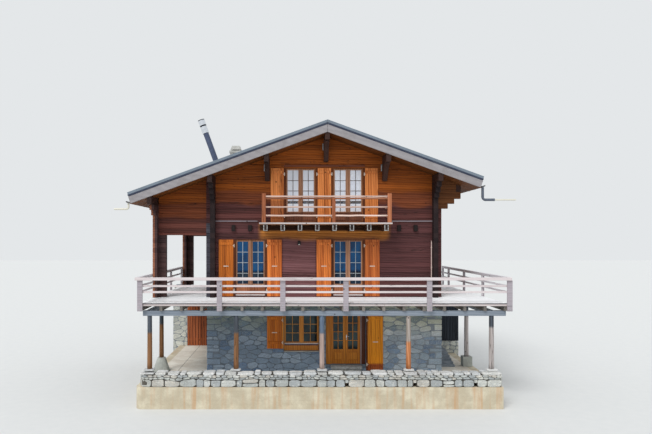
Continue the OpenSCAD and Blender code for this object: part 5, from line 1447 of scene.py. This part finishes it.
larch = timber("varnished_larch", (132, 92, 66), (188, 142, 114), "z", [
    (stone_storey, (162, 98, 34), (224, 150, 70)),
    # A dark purple band just under the ground window's ledge is painted shade.
    (zone(0.003, x=low_window_x, z=(1.722, 1.776)), (58, 48, 64), (84, 72, 90)),
    (zone(z=(3.5, 4.05)), (112, 62, 34), (176, 112, 76)),
    (zone(z=(6.44, 6.86)), (84, 48, 34), (128, 80, 58))], 0.42, 0.9, knots=0.4, cracks=0.4)
frame_wood = timber("frame_wood", (96, 54, 26), (146, 90, 48), "z",
    [(stone_storey, (168, 102, 32), (226, 152, 68))], 0.5, 0.9)
bar_paint = timber("glazing_bar_wood", (140, 150, 158), (184, 190, 194), "z", [
    (stone_storey, (166, 112, 52), (208, 152, 84)),
    (zone(z=(6.4, None)), (92, 84, 82), (128, 118, 114))], 0.5, 0.6, knots=0.0, cracks=0.2)
joinery, frames, glazing, clear_panes, blue_panes, sills, ledges = [Batch() for _ in range(7)]
frame_w, frame_d, mullion_w = 0.034, 0.090, 0.090
stile, foot_rail, half_bar, play = 0.042, 0.054, 0.011, 0.003
joiner = random.Random(31)


def casement(turn, x0, x1, z0, z1, y, columns, rows, panes):
    """One casement between the frame and the middle member: stiles, rails, bars and its glass."""
    front, back = y + 0.012, y + 0.060
    a, b, c, d = x0 + stile, x1 - stile, z0 + foot_rail, z1 - stile
    for left, right in ((x0 + play, a), (b, x1 - play)):
        joinery.block((left, front, z0 + play), (right, back, z1 - play), 0.005, joiner.random(), turn)
    for low, high in ((z0 + play, c), (d, z1 - play)):
        joinery.block((a, front + 0.001, low), (b, back, high), 0.005, joiner.random(), turn)
    for k in range(1, columns):
        x = a + (b - a) * k / columns
        glazing.block((x - half_bar, front + 0.006, c), (x + half_bar, back - 0.006, d), 0.004, 0.7, turn)
    for k in range(1, rows):
        z = c + (d - c) * k / rows
        glazing.block((a, front + 0.007, z - half_bar), (b, back - 0.007, z + half_bar), 0.004, 0.7, turn)
    panes.block((a - 0.006, y + 0.034, c - 0.006), (b + 0.006, y + 0.040, d + 0.006), 0.001, 0.5, turn)


def window(side, x, z, w, h, panel, inset, faces, columns, rows, panes):
    """A fixed frame with a middle member, two casements over a panel, a ledge and a sill."""
    turn = on_wall(side, *faces) @ Matrix.Translation((x, 0, z))
    half, y, back = w / 2, inset, inset + frame_d
    inner, top, in_wall = half - frame_w, h - frame_w, inset > 0.1
    for s in (-1, 1):
        a, b = sorted((s * half, s * inner))
        frames.block((a, y, 0), (b, back, h), 0.006, joiner.random(), turn)
    for low, high in ((0, frame_w), (top, h)):
        frames.block((-inner, y, low), (inner, back, high), 0.006, joiner.random(), turn)
    joinery.block((-mullion_w / 2, y, frame_w), (mullion_w / 2, back, top), 0.010, joiner.random(), turn)
    for s in (-1, 1):
        a, b = sorted((s * mullion_w / 2, s * inner))
        casement(turn, a, b, max(panel, frame_w), top, y, columns, rows, panes)
        if panel and not in_wall:
            joinery.block((a, y + 0.030, frame_w), (b, y + 0.060, panel), 0.004, joiner.random(), turn)
            low, high = (a + 0.04, y + 0.016, frame_w + 0.05), (b - 0.04, y + 0.036, panel - 0.05)
            joinery.block(low, high, 0.012, joiner.random(), turn)
    if panel and in_wall:
        joinery.block((-inner, y - 0.012, 0.040), (inner, y + 0.050, panel - 0.030), 0.006, 0.2, turn)
        low, high = (0.02 - half, y - 0.040, panel - 0.030), (half - 0.02, y + 0.020, panel + 0.006)
        ledges.block(low, high, 0.006, 0.7, turn)
    if z == on_deck:
        ledges.block((0.02 - half, -0.034, 0.030), (half - 0.02, y + 0.010, 0.074), 0.006, 0.8, turn)
    if in_wall or not panel:
        sills.block((0.004 - half, 0.002, 0.001), (half - 0.004, y, 0.034), 0.008, joiner.random(), turn)


log_inset, stone_inset = 0.025, 0.120
for item in french:
    window(*item, log_inset, log_faces, 2, 4, blue_panes)
for item in upper_french:
    window(*item, log_inset, log_faces, 2, 4, clear_panes)
for item in plain:
    window(*item, log_inset, log_faces, 1, 4 if item[5] else 3, blue_panes)
for item in in_stone:
    window(*item, stone_inset, stone_faces, 2 if item[3] > 1 else 1, 3, blue_panes)
joinery.made("window_joinery", larch, hides=("window_frames",))
frames.made("window_fixed_frames", frame_wood, hides=("window_frames",))
glazing.made("window_glazing_bars", bar_paint)
sills.made("window_sills", cast("sill_stone", (176, 176, 170), (208, 208, 202), (150, 146, 138), 0.3))
ledges.made("window_ledges", silver_wood)
long_foot, short_head, curtain_x = 7.29, 7.18, (0.05, 0.50)
clear, tree, shader = finish("clear_glass", 0.04)
here = place_of(tree)
between = zone(0.004, z=(short_head + 0.01, long_foot - 0.01))(tree, here)
feed(shader, Alpha=fade(tree, between, 0.0, 1.0, 0.75, 0.08),
    Base_Color=mixed(tree, cloud(tree, here, 2.2, 3), (226, 232, 246), (246, 250, 255)))
blue, tree, shader = finish("blue_glass", 0.05)
here = place_of(tree)
deeper = fade(tree, cloud(tree, stretched(tree, here, (1.2, 1.2, 0.8)), 1.6, 3, 0.55), 0.35, 0.65)
colour = mixed(tree, deeper, (0, 48, 86), (0, 74, 122))
for mask, *shades in ((zone(0.06, z=(3.5, 4.60)), (8, 16, 26), (28, 48, 66)),
        (stone_storey, (12, 26, 30), (46, 66, 68))):
    colour = mixed(tree, mask(tree, here), colour, mixed(tree, deeper, *shades))
shader.inputs["Specular IOR Level"].default_value = 0.3
feed(shader, cloud(tree, here, 3.0, 1), 0.002, 0.12, Base_Color=colour)
clear_panes.made("upper_panes", clear, hides=("window_glass",))
blue_panes.made("lower_panes", blue, hides=("window_glass",))


# White net curtains hang inside the upper French windows: a long one from the head, and a short one
# on a rod behind the lowest panes.
linen, tree, shader = finish("white_linen", 0.85)
cloth_map = put(tree, "ShaderNodeTexCoord").outputs["UV"]
threads = put(tree, "ShaderNodeTexChecker", {"Vector": cloth_map, "Scale": 900.0}).outputs["Fac"]
soft = cloud(tree, stretched(tree, place_of(tree), (6, 6, 0.7)), 2.0, 3)
colour = mixed(tree, soft, (236, 238, 242), (252, 252, 254))
colour = mixed(tree, reckon(tree, "MULTIPLY", threads, 0.08), colour, (180, 184, 190))
shader.inputs["Sheen Weight"].default_value = 0.2
feed(shader, threads, 0.0004, 0.4, Base_Color=colour)
rods, curtain_y = Batch(), 0.134


def curtain(name, x0, x1, z0, z1, folds, seed):
    """A gathered curtain between two heights, its folds deeper towards the hem."""
    across, down = folds * 8, 10
    wide, high = across + 1, z1 - z0
    head = []
    for t in [k / across for k in range(wide)]:
        depth = 0.012 * math.sin(2 * math.pi * folds * t + 0.7 * math.sin(5 * t + seed))
        head.append((x0 + (x1 - x0) * t, curtain_y + depth, z1))
    length = sum(math.dist(a, b) for a, b in zip(head, head[1:]))
    points = list(head)
    for v in [r / down for r in range(1, down + 1)]:
        points += [(x + 0.006 * v * math.sin(9 * x + seed), curtain_y + (y - curtain_y) * (0.75 + 0.4 * v),
            z1 - high * v) for x, y, _ in head]
    faces = [(r + k, r + wide + k, r + wide + k + 1, r + k + 1)
        for r in range(0, down * wide, wide) for k in range(across)]
    mesh = bpy.data.meshes.new(name)
    mesh.from_pydata(points, [], faces)
    cloth = mesh.uv_layers.new(name="cloth")
    for loop in mesh.loops:
        r, k = divmod(loop.vertex_index, wide)
        cloth.data[loop.index].uv = (k / across * length, r / down * high)
    piece = set_down(name, coloured(mesh, linen, True))
    thick = piece.modifiers.new("cloth", "SOLIDIFY")
    thick.thickness = 0.0012
    thick.offset = 0.0
    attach(piece, "house")
    rods.pipe([(x0 - 0.02, curtain_y, z1 + 0.004), (x1 + 0.02, curtain_y, z1 + 0.004)], 0.006, 8)


for n, (_, x, z, w, h, panel) in enumerate(upper_french):
    for s in (-1, 1):
        a, b = sorted(x + s * v for v in curtain_x)
        curtain(f"long_curtain_{n}_{(s + 1) // 2}", a, b, long_foot, z + h - 0.08, 7, n * 3 + s)
        curtain(f"short_curtain_{n}_{(s + 1) // 2}", a, b, z + panel + 0.02, short_head, 6, n * 5 + s + 2)
rods.made("curtain_rods", zinc, smooth=True)


# Open shutters lie flat on the walls: upright larch boards on two battens, galvanized hinges, a latch.
# A dark strip between each shutter and its window carries the hinge pins.
shutter_wood = timber("shutter_wood", (146, 72, 14), (206, 116, 34), "z", [
    (zone(x=(1.5, 2.3), z=(None, 3.4)), (176, 98, 14), (240, 154, 36)),
    (zone(0.05, x=(1.5, 2.3), z=(None, 1.05)), (112, 50, 20), (164, 86, 44)),
    (zone(z=(3.4, None)), (166, 80, 30), (236, 136, 64)),
    (zone(x=(None, -3.4), z=(3.4, 6.2)), (140, 70, 16), (202, 112, 38)),
    (zone(x=(1.4, 2.1), z=(3.4, 6.2)), (144, 68, 26), (204, 114, 56)),
    (zone(z=(6.2, None)), (168, 90, 38), (238, 148, 80)),
    (zone(0.05, x=(None, -1.3), z=(6.2, 7.32)), (132, 70, 34), (186, 112, 62))], 0.5, 1.05, knots=0.8)
strip_wood = timber("shutter_strip_wood", (70, 34, 18), (108, 58, 32), "z",
    [(zone(x=(None, 1.0), z=(None, 3.4)), (166, 98, 30), (224, 148, 60))], marks=0.8)
panels, irons, strips = Batch(), Batch(), Batch()
strip_w, shutter_board, shutter_gap, pin_up = 0.056, 0.135, 0.012, 0.235
batten_high, low_batten, top_batten = 0.11, 0.18, 0.21


def shutter(turn, x0, x1, z, h, hinge_side, latch=None):
    """A shutter from x0 to x1 with its strip, foot at z; the latch is at a height over the foot."""
    edge_x = x1 if hinge_side > 0 else x0
    a, b = sorted((edge_x, edge_x - hinge_side * strip_w))
    strips.block((a, -0.020, z), (b, -0.001, z + h), 0.003, joiner.random(), turn)
    x0, x1 = (x0, a - 0.003) if hinge_side > 0 else (b + 0.003, x1)
    count = max(3, round((x1 - x0) / shutter_board))
    pitch = (x1 - x0) / count
    for k in range(count):
        a, b = x0 + k * pitch + 0.0015, x0 + (k + 1) * pitch - 0.0015
        face = joiner.uniform(0, 0.003) - 0.034
        panels.block((a, face, z), (b, -0.001, z + h), 0.004, joiner.random(), turn)
    for low in (z + low_batten, z + h - top_batten):
        high = low + batten_high
        panels.block((x0 + 0.025, -0.056, low), (x1 - 0.025, -0.033, high), 0.008, joiner.random(), turn)
    pin_x = edge_x - hinge_side * 0.5 * strip_w
    a, b = sorted((pin_x, pin_x - hinge_side * 0.05))
    for pin_z in (z + pin_up, z + h - pin_up):
        irons.pipe([turn @ Vector((pin_x, -0.036, pin_z + up)) for up in (-0.06, 0.06)], 0.017, 8)
        irons.block((a, -0.061, pin_z - 0.012), (b, -0.030, pin_z + 0.012), 0.002, 0.5, turn)
    if latch:
        middle, bar_z = (x0 + x1) / 2, z + latch
        irons.block((middle - 0.10, -0.043, bar_z - 0.017), (middle + 0.10, -0.033, bar_z + 0.017), 0.003,
            0.5, turn)
        grip = ((0.06, -0.04, 0), (0.06, -0.054, 0), (0.02, -0.054, -0.004))
        irons.pipe([turn @ Vector((middle + x, y, bar_z + up)) for x, y, up in grip], 0.006, 6)


def shutter_pair(item, left_w, right_w, latch=None):
    """The shutters at both sides of a window, hung from its edges."""
    side, x, z, w, h, _ = item
    turn = on_wall(side, *log_faces)
    for way, wide in ((-1, left_w), (1, right_w)):
        near = x + way * (w / 2 + shutter_gap)
        shutter(turn, *sorted((near, near + way * wide)), z, h, -way, latch)


for item in french:
    shutter_pair(item, 0.62, 0.62, 1.16)
shutter_pair(upper_french[0], 0.56, 0.312)
shutter_pair(upper_french[1], 0.312, 0.56)
front_wall = on_wall(front_side, *stone_faces)
window_edge, door_edge = low_window_x[0] - shutter_gap, doorway_x[1] + shutter_gap
shutter(front_wall, window_edge - 0.63, window_edge, 1.62, 1.33, 1, 0.62)
shutter(front_wall, door_edge, door_edge + 0.65, 0.78, 2.17, -1, 1.1)
for item in plain:
    shutter_pair(item, item[3] / 2, item[3] / 2)
panels.made("shutter_boards", shutter_wood, hides=("shutters",))
strips.made("shutter_strips", strip_wood)
pale_iron = coat("pale_iron", 0.6, 0.1, (186, 168, 152), (240, 226, 212), 22, 4, 0.6)
irons.made("shutter_irons", pale_iron)


# The ground floor door has two glazed leaves in a broad frame. The leaves turn inwards, and each
# carries its own glazing bars, a raised panel and, on the right leaf, the handle.
honey = (168, 100, 32), (230, 154, 64)
door_wood = timber("door_wood", *honey, "z", rough=0.42, marks=0.95, knots=0.5, cracks=0.4)
dress(door_wood, "door_leaf_left", "door_leaf_right")
dress(timber("door_frame_wood", *honey, "z", [
    (zone(0.003, x=(1.335, 1.385)), (140, 122, 122), (186, 168, 164)),
    # The frame's right edge, beyond the grey strip, is painted dark: painted shade in the reveal beside the
    # shutter.
    (zone(0.003, x=(1.385, None)), (78, 40, 24), (116, 64, 42))], 0.42, 0.95, 0.5, 0.4), "door_frame")
dress(blue, "door_glass_left", "door_glass_right")
panel_foot, panel_head, glass_foot, glass_head, bar_rows = 1.18, 1.44, 1.57, 2.912, 4
for name, body, a, b in (("left", "left_leaf", 0.292, 0.670), ("right", "right_leaf", 0.860, 1.238)):
    bars, middle = Batch(), (a + b) / 2
    for y0, y1 in ((0.151, 0.1665), (0.1785, 0.194)):
        low, high = (middle - half_bar, y0, glass_foot + 0.002), (middle + half_bar, y1, glass_head - 0.002)
        bars.block(low, high, 0.004, 0.6)
        for k in range(1, bar_rows):
            z = glass_foot + (glass_head - glass_foot) * k / bar_rows
            low, high = (a + 0.001, y0 + 0.001, z - half_bar), (b - 0.001, y1 - 0.001, z + half_bar)
            bars.block(low, high, 0.004, 0.4)
    bars.block((a + 0.03, 0.149, panel_foot), (b - 0.03, 0.160, panel_head), 0.010, 0.3)
    bars.made(f"{name}_leaf_bars", door_wood, body)
handle = Batch()
handle.block((0.790, 0.139, 1.93), (0.822, 0.1455, 2.13), 0.003)
handle.pipe([(0.806, 0.142, 2.07), (0.806, 0.105, 2.07), (0.812, 0.095, 2.07), (0.90, 0.092, 2.066)], 0.009)
handle.made("right_leaf_handle", steel, "right_leaf", smooth=True)


# Upright board screens close the store under the side decks, red brown at the left and black at the
# right. Dark boards behind their gaps are painted shade, standing for the dark inside the store.
slat_wood = timber("slat_wood", (134, 70, 40), (204, 118, 74), "z",
    [(zone(x=(4.4, None)), (38, 44, 52), (66, 72, 82))], marks=0.9)
worked("screen_boards", "slat_screens", slat_wood, 0.004)
# Dark boards behind the screens' gaps: painted shade.
shade_backing = timber("shade_backing_boards", (34, 34, 38), (54, 54, 60), "z", marks=0.9)
backing_head = beam_seat - 0.005
shade_backing_rows = [(((a + b) / 2, y, (foot + backing_head) / 2), (0, 0, 1), (1, 0, 0), backing_head - foot, b - a)
    for a, b, y, foot in ((-6.295, -4.59, 5.407, 0.753), (4.47, 6.145, 3.691, 1.283))]
board_rows("screen_lining", shade_backing_rows, (0.14, 0.002, 0.012), shade_backing, 0.002)


# The wall lamp is a small black lantern with milk glass, and a white conduit runs up the right end of
# the wall in three clips.
worked("lantern", "wall_lamp", coat("black_iron", 0.5, 0.6, (28, 28, 30), (48, 46, 46), 30), 0.010)
globe = Batch()
globe.pipe([(-1.03, -0.085, z) for z in (5.636, 5.628, 5.612, 5.604)], [0.030, 0.034, 0.028, 0.012], 12)
milk = coat("milk_glass", 0.25, 0.0, (224, 222, 214), (240, 238, 230), 18, 2)
globe.made("lantern_glass", milk, smooth=True)
conduit, pipe_x, clip_heights = Batch(), 4.052, (3.95, 4.75, 5.5)
bends = ((-0.022, 3.605), (-0.022, 5.66), (-0.014, 5.735), (0.01, 5.76))
conduit.pipe([(pipe_x, y, z) for y, z in bends], 0.019)
for z in clip_heights:
    conduit.block((pipe_x - 0.026, -0.042, z - 0.012), (pipe_x + 0.026, -0.001, z + 0.012), 0.002)
conduit.made("conduit", coat("white_conduit", 0.45, 0.0, (208, 182, 172), (234, 212, 202), 6, 3))
